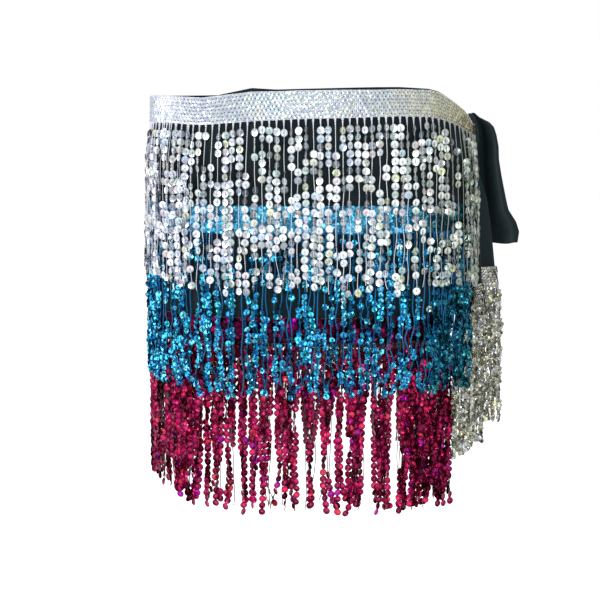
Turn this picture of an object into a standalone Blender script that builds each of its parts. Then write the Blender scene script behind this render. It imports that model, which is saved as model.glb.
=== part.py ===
"""Side-tied belly dance hip wrap: one knit cloth worn round the hips, with three tiers of sequin fringe trim.

Metres, +Z up. The wrap's front faces -Y and the wearer's left, where it is tied, is +X. The origin is the
middle of the waist opening, level with the top edge. A place on the wrap is given by its arc, the distance
round the hips from the front centre towards +X, its height, and how far out it stands from the cloth.
"""
import math
import random

import bmesh
import bpy
import numpy as np

for old in list(bpy.data.objects):
    bpy.data.objects.remove(old, do_unlink=True)

MM = 0.001

# The hips that the wrap is cut for, as plain ovals
OVAL_POWER = 2.4
HIP_HALF_WIDTH = 0.167
HIP_HALF_DEPTH = 0.113
HIP_SECTIONS = (
    # height, half_width, half_depth
    (-0.245, 0.1660, 0.1120),
    (-0.140, HIP_HALF_WIDTH, HIP_HALF_DEPTH),
    (-0.070, 0.1655, 0.1115),
    (0.005, 0.1630, 0.1090),
)
GIRTH_STEPS = 1440
ANGLE_STEP = 1e-4

# The cloth: its wall, the soft folds that deepen towards the hem, and its top edge above the silver band
CLOTH_WALL = 1.5 * MM
HEM_HEIGHT = -0.2445
SOFT_FOLDS = (
    # depth, folds all round, start
    (1.1 * MM, 7, 0.4),
    (0.7 * MM, 11, 1.9),
)
TOP_EDGE = (
    # arc, cloth_top, band_top, band_bottom, all in millimetres
    (-459, 1.0, 0.0, -26.0),
    (-371, 0.5, -0.5, -26.5),
    (-250, -2.5, -3.0, -29.0),
    (-156, -4.8, -5.3, -30.0),
    (-111, -7.4, -7.9, -32.3),
    (-95, -5.5, -6.5, -31.5),
    (-60, 1.1, -2.7, -29.0),
    (-36, -0.4, -2.4, -28.0),
    (-12, 0.2, -1.7, -27.0),
    (34, 1.3, -1.1, -25.9),
    (60, 1.9, -1.0, -25.0),
    (85, 2.2, -0.2, -24.2),
    (116, 0.9, -0.6, -24.8),
    (128, -1.2, -2.0, -26.6),
    (148, -11.6, -12.1, -31.5),
    (166, -20.0, -20.5, -37.0),
    (188, -32.6, -33.1, -43.0),
    (236, -32.6, -33.1, -45.0),
    (263, -32.6, -33.1, -46.0),
    (288, -24.0, -24.5, -42.0),
    (322, -8.0, -8.5, -33.0),
    (371, -0.5, -1.5, -27.0),
    (459, 1.0, 0.0, -26.0),
)

# The knot at the wearer's left, and the two sloped edges of the cloth that leave it as a slit
KNOT_ARC = 0.2496
KNOT_HEIGHT = -0.044
KNOT_STAND = 1.5 * MM
KNOT_HALF = {"out": 10 * MM, "along": 13 * MM, "top": 23.5 * MM, "foot": 17 * MM}
KNOT_PINCH = 0.12
KNOT_TURNS = 16
KNOT_RINGS = 9
SEAM_GAP = 0.3 * MM
KNOT_REACH = KNOT_HALF["along"] + SEAM_GAP
SLIT_EDGES = (
    # height, front_arc, back_arc
    (HEM_HEIGHT, 0.1419, 0.320),
    (-0.216, 0.1490, 0.312),
    (-0.190, 0.1593, 0.305),
    (-0.137, 0.1796, 0.290),
    (-0.110, 0.1910, 0.282),
    (-0.080, 0.2160, 0.271),
    (-0.061, 0.2320, 0.265),
    (-0.047, KNOT_ARC - KNOT_REACH, KNOT_ARC + KNOT_REACH),
    (0.005, KNOT_ARC - KNOT_REACH, KNOT_ARC + KNOT_REACH),
)
CLOTH_COLUMNS = 64
EDGE_PASSES = 4
PLAIN_ROWS = {"above_blue": -0.075, "above_crimson": -0.176}

# The trims: a sequin band, and a header strip below it that the strands hang from
BAND_WALL = 1.5 * MM
HEADER_WALL = 1.2 * MM
HEADER_HEIGHT = 3.0 * MM
STRAND_WIDTH = 7.0 * MM
TIP_SHARE = 0.8
BLUE_BAND = {"top": -0.1095, "bottom": -0.135}
CRIMSON_BAND = {"top": -0.2165, "bottom": -0.241}
FRINGES = {
    # count, first and last arc, drop to the free line, height of the tips and how uneven they are, stand-off
    "silver": {"count": 80, "first": -0.647, "last": 0.204, "free": 0.034, "tip": -0.188, "uneven": 5 * MM,
               "stand": 4.9 * MM, "seed": 3},
    "blue": {"count": 76, "first": -0.622, "last": 0.170, "free": 0.028, "tip": -0.291, "uneven": 6 * MM,
             "stand": 3.0 * MM, "seed": 5},
    "crimson": {"count": 70, "first": -0.593, "last": 0.138, "free": 0.050, "tip": -0.402, "uneven": 8 * MM,
                "stand": 1.1 * MM, "seed": 8},
}
STRAND_DRIFT = 1.2 * MM

# The tail: the cloth's other end, gathered under the knot and fanned out to a folded hem
TAIL_TOP = -0.0615
TAIL_TOP_ARC = 0.2436
TAIL_TOP_WIDTH = 0.012
TAIL_GAP = 4 * MM
TAIL_WALL = 1.4 * MM
TAIL_STEP = 0.2 * MM
TAIL_ROWS = 7
TAIL_COLUMNS = 56
TAIL_SWING = 0.8
TAIL_FOLDS = (
    # arc, out, hem height, all in millimetres, along the hem, over its two pleats
    (146.5, 0.0, -217.5),
    (160.0, 0.0, -217.5),
    (174.0, 0.0, -217.5),
    (188.0, 0.6, -217.5),
    (200.0, 2.2, -217.4),
    (207.0, 5.0, -217.3),
    (212.0, 9.0, -217.2),
    (215.5, 12.6, -216.6),
    (218.5, 12.0, -213.0),
    (220.5, 8.6, -208.0),
    (222.5, 5.4, -204.2),
    (225.5, 4.8, -202.5),
    (228.5, 8.6, -202.0),
    (230.5, 14.0, -202.0),
    (232.5, 20.5, -202.0),
    (235.0, 28.0, -202.0),
    (238.5, 33.0, -202.0),
    (242.0, 32.0, -202.4),
    (244.5, 25.0, -203.4),
    (246.5, 15.0, -204.6),
)
TAIL_BAND_HEIGHT = 0.021
TAIL_SEAM = 0.9 * MM
TAIL_FRINGE = {"count": 24, "width": 4.2 * MM, "free": 0.030, "drop": 0.148, "uneven": 4 * MM, "seed": 13}

# The plain end: a pleated tail beside the knot, flaring down and out
TIE_WALL = 1.6 * MM
TIE_PLEATS = 1.5
TIE_COLUMNS = 18
TIE_STEP = 0.01
TIE_END = (
    # height, inner_x, outer_x, middle_y, pleat, all in millimetres
    (-20.0, 168.4, 170.0, 26.0, 0.6),
    (-24.5, 172.0, 176.0, 27.0, 1.5),
    (-29.7, 173.8, 187.2, 28.5, 3.0),
    (-34.8, 174.6, 192.5, 29.5, 4.0),
    (-43.2, 174.1, 195.8, 31.0, 5.0),
    (-55.8, 173.3, 198.9, 33.0, 6.2),
    (-69.4, 172.0, 200.0, 34.5, 7.0),
    (-87.2, 172.0, 203.5, 35.5, 7.6),
    (-111.5, 172.0, 209.0, 36.0, 8.2),
    (-123.0, 172.0, 212.0, 36.0, 8.4),
    (-135.9, 172.5, 220.5, 36.0, 8.5),
    (-146.5, 173.5, 224.0, 36.0, 8.4),
    (-158.2, 175.0, 222.5, 36.0, 8.0),
)

# Colour, roughness and metallic value of each material
FINISHES = {
    "black_knit": ((0.012, 0.015, 0.018), 0.90, 0.0),
    "silver_sequins": ((0.72, 0.74, 0.80), 0.28, 0.9),
    "blue_sequins": ((0.01, 0.33, 0.62), 0.28, 0.9),
    "crimson_sequins": ((0.42, 0.005, 0.08), 0.28, 0.9),
}

SMOOTH_ANGLE = math.radians(40)


def oval(angle, half_width, half_depth):
    """A plan point of an oval, its angle counted from the front centre towards +X."""
    sine = math.sin(angle)
    cosine = math.cos(angle)
    total = abs(sine / half_width) ** OVAL_POWER + abs(cosine / half_depth) ** OVAL_POWER
    reach = total ** (-1 / OVAL_POWER)
    return np.array((reach * sine, -reach * cosine))


def girth_table():
    """Angles all round the widest section, and the arc of each from the front centre."""
    angles = np.linspace(-math.pi, math.pi, GIRTH_STEPS + 1)
    points = np.array([oval(angle, HIP_HALF_WIDTH, HIP_HALF_DEPTH) for angle in angles])
    steps = np.linalg.norm(np.diff(points, axis=0), axis=1)
    arcs = np.concatenate(((0.0,), np.cumsum(steps)))
    return angles, arcs - arcs[-1] / 2


ANGLES, ARCS = girth_table()
GIRTH = ARCS[-1] - ARCS[0]


def read(table, index, value):
    """One column of a table at a value of its first column, which rises from row to row."""
    return float(np.interp(value, [row[0] for row in table], [row[index] for row in table]))


def home_arc(arc):
    """The same place as an arc, counted within half a girth of the front centre."""
    return (arc + GIRTH / 2) % GIRTH - GIRTH / 2


def soft_fold(arc, height):
    """How far the soft folds swell out: none at the top edge, the whole depth at the hem and below."""
    growth = min(max(height / HEM_HEIGHT, 0.0), 1.0)
    turn = 2 * math.pi * arc / GIRTH
    return growth * sum(depth * math.sin(count * turn + start) for depth, count, start in SOFT_FOLDS)


def on_wrap(arc, height, out=0.0):
    """A point that stands out from the cloth's outer face."""
    angle = float(np.interp(home_arc(arc), ARCS, ANGLES))
    half_width = read(HIP_SECTIONS, 1, height)
    half_depth = read(HIP_SECTIONS, 2, height)
    here = oval(angle, half_width, half_depth)
    ahead = oval(angle + ANGLE_STEP, half_width, half_depth)
    behind = oval(angle - ANGLE_STEP, half_width, half_depth)
    along = ahead - behind
    outward = np.array((along[1], -along[0])) / np.linalg.norm(along)
    plan = here + outward * (out + soft_fold(arc, height))
    return np.array((plan[0], plan[1], height))


def across(share, height):
    """The arc of a share of the cloth, from its back edge, round the wearer's right, to its front edge."""
    front = read(SLIT_EDGES, 1, height)
    back = read(SLIT_EDGES, 2, height) - GIRTH
    return back + share * (front - back)


def edge_height(index, arc):
    """The height of the cloth's top or of the silver band's top or bottom at an arc."""
    return read(TOP_EDGE, index, home_arc(arc) / MM) * MM


def cloth_top(arc):
    return edge_height(1, arc)


def silver_top(arc):
    return edge_height(2, arc)


def silver_bottom(arc):
    return edge_height(3, arc)


def finish(name):
    """The material of one finish, made once."""
    if name in bpy.data.materials:
        return bpy.data.materials[name]
    colour, roughness, metallic = FINISHES[name]
    material = bpy.data.materials.new(name)
    material.use_nodes = True
    shader = material.node_tree.nodes["Principled BSDF"]
    shader.inputs["Base Color"].default_value = (*colour, 1.0)
    shader.inputs["Roughness"].default_value = roughness
    shader.inputs["Metallic"].default_value = metallic
    return material


def add_piece(name, vertices, faces, finish_name):
    """One closed body as a named object, with its faces pointing out."""
    mesh = bpy.data.meshes.new(name)
    mesh.from_pydata([tuple(vertex) for vertex in vertices], [], faces)
    shape = bmesh.new()
    shape.from_mesh(mesh)
    bmesh.ops.recalc_face_normals(shape, faces=shape.faces)
    shape.to_mesh(mesh)
    shape.free()
    mesh.materials.append(finish(finish_name))
    mesh.shade_smooth()
    mesh.set_sharp_from_angle(angle=SMOOTH_ANGLE)
    piece = bpy.data.objects.new(name, mesh)
    bpy.context.scene.collection.objects.link(piece)
    return piece


def add_wall(name, outer, inner, finish_name):
    """A closed wall between two grids of points of the same size, each a list of rows."""
    rows = len(outer)
    columns = len(outer[0])
    vertices = [point for grid in (outer, inner) for row in grid for point in row]

    def index(side, row, place):
        return side * rows * columns + row * columns + place

    faces = []
    for row in range(rows - 1):
        for place in range(columns - 1):
            for side in (0, 1):
                faces.append((index(side, row, place), index(side, row, place + 1),
                              index(side, row + 1, place + 1), index(side, row + 1, place)))
    for place in range(columns - 1):
        for row in (0, rows - 1):
            faces.append((index(0, row, place), index(0, row, place + 1),
                          index(1, row, place + 1), index(1, row, place)))
    for row in range(rows - 1):
        for place in (0, columns - 1):
            faces.append((index(0, row, place), index(0, row + 1, place),
                          index(1, row + 1, place), index(1, row, place)))
    return add_piece(name, vertices, faces, finish_name)


def wrap_arcs(height_of, share):
    """The arc and height of a share of the cloth on an edge whose height depends on the arc."""
    arc = across(share, HEM_HEIGHT / 2)
    for _ in range(EDGE_PASSES):
        arc = across(share, height_of(arc))
    return arc, height_of(arc)


def add_wrap_strip(name, heights, out, wall, finish_name):
    """A wall round the hips whose rows follow the given height functions."""
    shares = [place / CLOTH_COLUMNS for place in range(CLOTH_COLUMNS + 1)]
    spots = [[wrap_arcs(height_of, share) for share in shares] for height_of in heights]
    outer = [[on_wrap(arc, height, out + wall) for arc, height in row] for row in spots]
    inner = [[on_wrap(arc, height, out) for arc, height in row] for row in spots]
    return add_wall(name, outer, inner, finish_name)


def level(height):
    """A height function that is the same all round."""
    return lambda arc: height


def add_fringe(name, place, header_top, strands, finish_name, seam=SEAM_GAP):
    """A header strip with flat strands hanging from its lower face, as one closed body.

    place(length, height, out) gives a point, and each strand is a dictionary of its middle, width, drift,
    and rows of height and out. The header stands off its cloth by the seam.
    """
    vertices = []
    faces = []

    def add(points):
        first = len(vertices)
        vertices.extend(points)
        return list(range(first, first + len(points)))

    def header_section(length):
        top = header_top(length)
        bottom = top - HEADER_HEIGHT
        near = seam
        far = seam + HEADER_WALL
        return add([place(length, top, far), place(length, bottom, far),
                    place(length, bottom, near), place(length, top, near)])

    previous = None
    for strand in strands:
        middle = strand["middle"]
        half = strand["width"] / 2
        left = header_section(middle - half)
        right = header_section(middle + half)
        if previous is None:
            faces.append(tuple(left))
        else:
            faces.extend((previous[k], left[k], left[(k + 1) % 4], previous[(k + 1) % 4]) for k in range(4))
        faces.extend((left[k], right[k], right[(k + 1) % 4], left[(k + 1) % 4]) for k in (0, 2, 3))
        ring = [left[1], right[1], right[2], left[2]]
        for height, out, spread, drift in strand["rows"]:
            side = half * spread
            lower = add([place(middle + drift - side, height, out + HEADER_WALL / 2),
                         place(middle + drift + side, height, out + HEADER_WALL / 2),
                         place(middle + drift + side, height, out - HEADER_WALL / 2),
                         place(middle + drift - side, height, out - HEADER_WALL / 2)])
            faces.extend((ring[k], ring[(k + 1) % 4], lower[(k + 1) % 4], lower[k]) for k in range(4))
            ring = lower
        faces.append(tuple(ring))
        previous = right
    faces.append(tuple(previous))
    return add_piece(name, vertices, faces, finish_name)


def hip_strands(sizes, header_top):
    """The strands of one tier, evenly spaced round the hips with uneven tips."""
    draw = random.Random(sizes["seed"])
    pitch = (sizes["last"] - sizes["first"]) / (sizes["count"] - 1)
    strands = []
    for number in range(sizes["count"]):
        middle = sizes["first"] + number * pitch
        free = header_top(middle) - HEADER_HEIGHT - sizes["free"]
        tip = sizes["tip"] + draw.uniform(-1, 1) * sizes["uneven"]
        drift = draw.uniform(-1, 1) * STRAND_DRIFT
        rows = ((free, sizes["stand"], 1.0, 0.0), (tip, sizes["stand"], TIP_SHARE, drift))
        strands.append({"middle": middle, "width": STRAND_WIDTH, "rows": rows})
    return strands


def add_tier(colour, band_bottom):
    """The fringe of one tier, hung just below its band."""
    def header_top(arc):
        return band_bottom(arc) - SEAM_GAP

    strands = hip_strands(FRINGES[colour], header_top)
    add_fringe("fringe_" + colour, on_wrap, header_top, strands, colour + "_sequins")


def tail_fold_lengths():
    """Distances along the tail's hem of the rows of TAIL_FOLDS."""
    points = [on_wrap(arc * MM, HEM_HEIGHT, out * MM)[:2] for arc, out, _ in TAIL_FOLDS]
    steps = np.linalg.norm(np.diff(np.array(points), axis=0), axis=1)
    return np.concatenate(((0.0,), np.cumsum(steps)))


TAIL_LENGTHS = tail_fold_lengths()
TAIL_WIDTH = float(TAIL_LENGTHS[-1])


def tail_fold(length):
    """Arc, stand-off and hem height at a distance along the tail's hem, on a curve through its rows."""
    spot = float(np.interp(length, TAIL_LENGTHS, range(len(TAIL_FOLDS))))
    row = min(int(spot), len(TAIL_FOLDS) - 2)
    blend = spot - row
    knots = [np.array(TAIL_FOLDS[min(max(row + step, 0), len(TAIL_FOLDS) - 1)]) for step in (-1, 0, 1, 2)]
    before, start, end, after = knots
    curve = 0.5 * (2 * start + (end - before) * blend
                   + (2 * before - 5 * start + 4 * end - after) * blend ** 2
                   + (3 * start - before - 3 * end + after) * blend ** 3)
    return curve * MM


def tail_spread(height):
    """How far the tail has fanned out at a height: its left edge stays beside the cloth's front edge."""
    edge = read(SLIT_EDGES, 1, height) + TAIL_GAP
    return min(max((TAIL_TOP_ARC - edge) / (TAIL_TOP_ARC - TAIL_FOLDS[0][0] * MM), 0.0), 1.0)


def tail_face(length, height):
    """A point of the tail's outer face."""
    arc, out, _ = tail_fold(length)
    gathered = TAIL_TOP_ARC + TAIL_TOP_WIDTH * length / TAIL_WIDTH
    spread = tail_spread(height)
    return on_wrap(gathered + (arc - gathered) * spread, height, out * spread ** TAIL_SWING)


def on_tail(length, height, out=0.0):
    """A point that stands out from the tail's outer face."""
    length = min(max(length, 0.0), TAIL_WIDTH)
    ahead = tail_face(min(length + TAIL_STEP, TAIL_WIDTH), height)
    behind = tail_face(max(length - TAIL_STEP, 0.0), height)
    along = ahead - behind
    outward = np.array((along[1], -along[0], 0.0)) / math.hypot(along[0], along[1])
    return tail_face(length, height) + outward * out


def tail_hem(length):
    """The height of the tail's hem at a distance along it."""
    return float(tail_fold(min(max(length, 0.0), TAIL_WIDTH))[2])


def add_tail():
    """The fanned cloth, its band and its fringe."""
    lengths = [TAIL_WIDTH * place / TAIL_COLUMNS for place in range(TAIL_COLUMNS + 1)]
    drops = [row / (TAIL_ROWS - 1) for row in range(TAIL_ROWS)]

    def grid(out, tops, bottoms, shares):
        return [[on_tail(length, tops(length) + (bottoms(length) - tops(length)) * share, out)
                 for length in lengths] for share in shares]

    def band_top(length):
        return tail_hem(length) + TAIL_BAND_HEIGHT

    def band_bottom(length):
        return tail_hem(length) + HEADER_HEIGHT + TAIL_SEAM

    add_wall("tail_cloth", grid(0.0, level(TAIL_TOP), tail_hem, drops),
             grid(-TAIL_WALL, level(TAIL_TOP), tail_hem, drops), "black_knit")
    add_wall("band_tail", grid(SEAM_GAP + BAND_WALL, band_top, band_bottom, (0, 1)),
             grid(SEAM_GAP, band_top, band_bottom, (0, 1)), "silver_sequins")

    sizes = TAIL_FRINGE
    draw = random.Random(sizes["seed"])
    pitch = (TAIL_WIDTH - sizes["width"]) / (sizes["count"] - 1)
    middle_out = TAIL_SEAM + HEADER_WALL / 2
    strands = []
    for number in range(sizes["count"]):
        middle = sizes["width"] / 2 + number * pitch
        root = tail_hem(middle)
        tip = root - sizes["drop"] + draw.uniform(-1, 1) * sizes["uneven"]
        rows = ((root - sizes["free"], middle_out, 1.0, 0.0), (tip, middle_out, TIP_SHARE, 0.0))
        strands.append({"middle": middle, "width": sizes["width"], "rows": rows})
    add_fringe("fringe_tail", on_tail, lambda length: tail_hem(length) + HEADER_HEIGHT, strands,
               "silver_sequins", TAIL_SEAM)


def add_knot():
    """The knot: a soft lump drawn in round its middle, where one end passes over the other."""
    centre = on_wrap(KNOT_ARC, KNOT_HEIGHT, KNOT_STAND)
    along = on_wrap(KNOT_ARC + MM, KNOT_HEIGHT) - on_wrap(KNOT_ARC - MM, KNOT_HEIGHT)
    along = along / np.linalg.norm(along)
    outward = np.array((along[1], -along[0], 0.0))
    upward = np.array((0.0, 0.0, 1.0))
    vertices = [centre + upward * KNOT_HALF["top"]]
    for ring in range(1, KNOT_RINGS):
        slope = math.pi * ring / KNOT_RINGS
        rise = KNOT_HALF["top"] if slope < math.pi / 2 else KNOT_HALF["foot"]
        for turn in range(KNOT_TURNS):
            swing = 2 * math.pi * turn / KNOT_TURNS
            pinch = 1 - KNOT_PINCH * (0.5 + 0.5 * math.cos(4 * (slope - math.pi / 2) + swing))
            vertices.append(centre + upward * rise * math.cos(slope)
                            + along * KNOT_HALF["along"] * math.sin(slope) * math.cos(swing)
                            + outward * KNOT_HALF["out"] * math.sin(slope) * math.sin(swing) * pinch)
    vertices.append(centre - upward * KNOT_HALF["foot"])
    last = len(vertices) - 1
    faces = []
    for turn in range(KNOT_TURNS):
        after = (turn + 1) % KNOT_TURNS
        faces.append((0, 1 + turn, 1 + after))
        for ring in range(KNOT_RINGS - 2):
            first = 1 + ring * KNOT_TURNS
            faces.append((first + turn, first + KNOT_TURNS + turn, first + KNOT_TURNS + after, first + after))
        first = 1 + (KNOT_RINGS - 2) * KNOT_TURNS
        faces.append((first + turn, last, first + after))
    add_piece("knot", vertices, faces, "black_knit")


def add_tie_end():
    """The plain end, pleated across its width."""
    def plan(row, share):
        _, inner_x, outer_x, middle_y, pleat = (value * MM for value in row)
        return np.array((inner_x + (outer_x - inner_x) * share,
                         middle_y - pleat * math.cos(2 * math.pi * TIE_PLEATS * share)))

    def grid(out):
        rows = []
        for row in TIE_END:
            points = []
            for place in range(TIE_COLUMNS + 1):
                share = place / TIE_COLUMNS
                along = plan(row, share + TIE_STEP) - plan(row, share - TIE_STEP)
                outward = np.array((along[1], -along[0])) / np.linalg.norm(along)
                spot = plan(row, share) + outward * out
                points.append(np.array((spot[0], spot[1], row[0] * MM)))
            rows.append(points)
        return rows

    add_wall("tie_end", grid(TIE_WALL / 2), grid(-TIE_WALL / 2), "black_knit")


CLOTH_ROWS = (cloth_top, silver_bottom, level(PLAIN_ROWS["above_blue"]), level(BLUE_BAND["top"]),
              level(BLUE_BAND["bottom"]), level(PLAIN_ROWS["above_crimson"]), level(CRIMSON_BAND["top"]),
              level(HEM_HEIGHT))
add_wrap_strip("base_cloth", CLOTH_ROWS, -CLOTH_WALL, CLOTH_WALL, "black_knit")
for colour, band_top, band_bottom in (("silver", silver_top, silver_bottom),
                                      ("blue", level(BLUE_BAND["top"]), level(BLUE_BAND["bottom"])),
                                      ("crimson", level(CRIMSON_BAND["top"]), level(CRIMSON_BAND["bottom"]))):
    add_wrap_strip("band_" + colour, (band_top, band_bottom), SEAM_GAP, BAND_WALL, colour + "_sequins")
    add_tier(colour, band_bottom)
add_knot()
add_tie_end()
add_tail()
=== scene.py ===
import math
import random

import bpy
import numpy as np
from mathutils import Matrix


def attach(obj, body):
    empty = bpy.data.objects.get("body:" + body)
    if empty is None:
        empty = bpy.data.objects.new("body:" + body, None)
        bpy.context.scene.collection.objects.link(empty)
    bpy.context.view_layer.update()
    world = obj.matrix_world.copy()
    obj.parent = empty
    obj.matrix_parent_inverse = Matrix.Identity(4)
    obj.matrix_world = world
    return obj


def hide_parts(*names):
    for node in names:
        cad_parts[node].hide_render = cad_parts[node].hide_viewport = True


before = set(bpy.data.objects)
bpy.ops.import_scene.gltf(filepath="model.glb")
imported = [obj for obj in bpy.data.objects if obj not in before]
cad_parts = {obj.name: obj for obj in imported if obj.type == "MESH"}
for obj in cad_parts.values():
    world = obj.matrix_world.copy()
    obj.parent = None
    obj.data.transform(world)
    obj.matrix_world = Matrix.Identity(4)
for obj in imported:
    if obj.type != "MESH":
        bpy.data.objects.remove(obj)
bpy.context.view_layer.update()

# The wrap: one length of black stretch knit worn round the hips, with a narrow turned hem at its top and
# its bottom. Its two sloped ends part below the tie, over the left hip, and leave a slit there.
MM = 0.001
OVAL_POWER = 2.4
HIP_SECTIONS = np.array((
    # height, half_width, half_depth
    (-0.245, 0.1660, 0.1120),
    (-0.140, 0.1670, 0.1130),
    (-0.070, 0.1655, 0.1115),
    (0.005, 0.1630, 0.1090),
))
WIDEST = HIP_SECTIONS[1, 1:]
ANGLE_STEP = 1e-4
HEM_HEIGHT = -0.2445
SOFT_FOLDS = (
    # depth, folds all round, start
    (1.1 * MM, 7, 0.4),
    (0.7 * MM, 11, 1.9),
)
TOP_EDGE = np.array((
    # arc, cloth_top, band_top, band_bottom, all in millimetres
    (-459, 1.0, 0.0, -26.0),
    (-371, 0.5, -0.5, -26.5),
    (-250, -2.5, -3.0, -29.0),
    (-156, -4.8, -5.3, -30.0),
    (-111, -7.4, -7.9, -32.3),
    (-95, -5.5, -6.5, -31.5),
    (-60, 1.1, -2.7, -29.0),
    (-36, -0.4, -2.4, -28.0),
    (-12, 0.2, -1.7, -27.0),
    (34, 1.3, -1.1, -25.9),
    (60, 1.9, -1.0, -25.0),
    (85, 2.2, -0.2, -24.2),
    (116, 0.9, -0.6, -24.8),
    (128, -1.2, -2.0, -26.6),
    (148, -11.6, -12.1, -31.5),
    (166, -20.0, -20.5, -37.0),
    (188, -32.6, -33.1, -43.0),
    (236, -32.6, -33.1, -45.0),
    (263, -32.6, -33.1, -46.0),
    (288, -24.0, -24.5, -42.0),
    (322, -8.0, -8.5, -33.0),
    (371, -0.5, -1.5, -27.0),
    (459, 1.0, 0.0, -26.0),
)) * MM
KNOT_ARC = 0.2496
KNOT_REACH = 0.0133
SLIT_EDGES = np.array((
    # height, front_arc, back_arc
    (HEM_HEIGHT, 0.1419, 0.320),
    (-0.216, 0.1490, 0.312),
    (-0.190, 0.1593, 0.305),
    (-0.137, 0.1796, 0.290),
    (-0.110, 0.1910, 0.282),
    (-0.080, 0.2160, 0.271),
    (-0.061, 0.2320, 0.265),
    (-0.047, KNOT_ARC - KNOT_REACH, KNOT_ARC + KNOT_REACH),
    (0.005, KNOT_ARC - KNOT_REACH, KNOT_ARC + KNOT_REACH),
))
BLUE_BAND = (-0.1095, -0.135)
CRIMSON_BAND = (-0.2165, -0.241)
SEAM_EASE = 8 * MM
WRAP_WALL = 1.2 * MM
WRAP_GRID = (72, 420)
EDGE_PASSES = 4
WRAP_CREASES = (
    # arc, height, lean, half_width, half_length, depth, in mm and degrees
    (-128, -62, 8, 6, 40, 1.3),
    (-86, -80, -12, 8, 46, 1.0),
    (-58, -8, 62, 4, 20, 0.8),
    (-22, -70, 5, 7, 38, 1.1),
    (26, -84, -9, 6, 42, 0.9),
    (70, -66, 14, 8, 40, 1.2),
    (112, -72, 24, 6, 44, 1.4),
    (142, -76, 38, 5, 40, 1.6),
    (-96, -168, -4, 7, 30, 1.0),
    (-34, -172, 7, 6, 28, 1.2),
    (38, -166, -6, 8, 30, 1.0),
    (96, -170, 10, 6, 30, 1.2),
    (-176, -70, 6, 7, 44, 1.2),
    (-214, -78, -8, 8, 40, 1.0),
    (-262, -66, 10, 6, 44, 1.3),
    (-310, -80, -6, 7, 42, 1.1),
    (-352, -72, 12, 8, 40, 1.2),
    (-398, -64, -10, 6, 42, 1.0),
    (-436, -82, 5, 7, 44, 1.2),
    (-482, -70, -14, 8, 42, 1.1),
    (-530, -76, -24, 6, 44, 1.3),
    (-566, -72, -36, 5, 40, 1.5),
    (-240, -170, -5, 7, 30, 1.1),
    (-330, -168, 8, 6, 28, 1.0),
    (-420, -172, -7, 8, 30, 1.2),
    (-510, -168, 9, 7, 30, 1.0),
)


def oval(angle, half_width, half_depth):
    """Plan points of an oval, the angle counted from the front centre towards +X."""
    sine, cosine = np.sin(angle), np.cos(angle)
    total = np.abs(sine / half_width) ** OVAL_POWER + np.abs(cosine / half_depth) ** OVAL_POWER
    reach = total ** (-1 / OVAL_POWER)
    return np.stack((reach * sine, -reach * cosine), axis=-1)


ANGLES = np.linspace(-math.pi, math.pi, 1441)
STEPS = np.linalg.norm(np.diff(oval(ANGLES, *WIDEST), axis=0), axis=1)
GIRTH = STEPS.sum()
ARCS = np.concatenate(((0.0,), np.cumsum(STEPS))) - GIRTH / 2


def read(table, column, value):
    """One column of a table at values of its first column."""
    return np.interp(value, table[:, 0], table[:, column])


def home_arc(arc):
    """The same places as arcs, counted within half a girth of the front centre."""
    return (arc + GIRTH / 2) % GIRTH - GIRTH / 2


def on_wrap(arc, height, out=0.0):
    """Points that stand out from the cloth's outer face."""
    arc, height, out = np.broadcast_arrays(np.asarray(arc, float), np.asarray(height, float), out)
    angle = np.interp(home_arc(arc), ARCS, ANGLES)
    half_width, half_depth = read(HIP_SECTIONS, 1, height), read(HIP_SECTIONS, 2, height)
    along = (oval(angle + ANGLE_STEP, half_width, half_depth)
             - oval(angle - ANGLE_STEP, half_width, half_depth))
    outward = np.stack((along[..., 1], -along[..., 0]), axis=-1)
    outward /= np.linalg.norm(outward, axis=-1, keepdims=True)
    growth = np.clip(height / HEM_HEIGHT, 0.0, 1.0)
    fold = growth * sum(depth * np.sin(count * 2 * math.pi * arc / GIRTH + start)
                        for depth, count, start in SOFT_FOLDS)
    plan = oval(angle, half_width, half_depth) + outward * (out + fold)[..., None]
    return np.concatenate((plan, height[..., None]), axis=-1)


def across(share, height):
    """The arc of a share of the cloth, from its back edge, round the right hip, to its front edge."""
    front = read(SLIT_EDGES, 1, height)
    back = read(SLIT_EDGES, 2, height) - GIRTH
    return back + share * (front - back)


def edge_height(column, arc):
    """The height of the cloth's top (1) or of the silver band's top (2) or bottom (3)."""
    return read(TOP_EDGE, column, home_arc(arc))


def strip_grid(top_of, bottom_of, rows, columns):
    """Arcs and heights of a strip of the wrap, its rows spread between two height functions."""
    share = np.broadcast_to(np.linspace(0, 1, columns), (rows, columns))
    drop = np.broadcast_to(np.linspace(0, 1, rows)[:, None], (rows, columns))
    arc = across(share, HEM_HEIGHT / 2)
    for _ in range(EDGE_PASSES):
        height = top_of(arc) + drop * (bottom_of(arc) - top_of(arc))
        arc = across(share, height)
    return arc, height


def placed(name, data):
    """An object at the origin, in the scene."""
    made = bpy.data.objects.new(name, data)
    bpy.context.scene.collection.objects.link(made)
    return made


def keep(mesh, title, values, kind="FLOAT"):
    """A number or a vector for each point of a mesh, kept as a named attribute."""
    field = "value" if kind == "FLOAT" else "vector"
    mesh.attributes.new(title, kind, "POINT").data.foreach_set(field, np.ravel(values))


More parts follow.
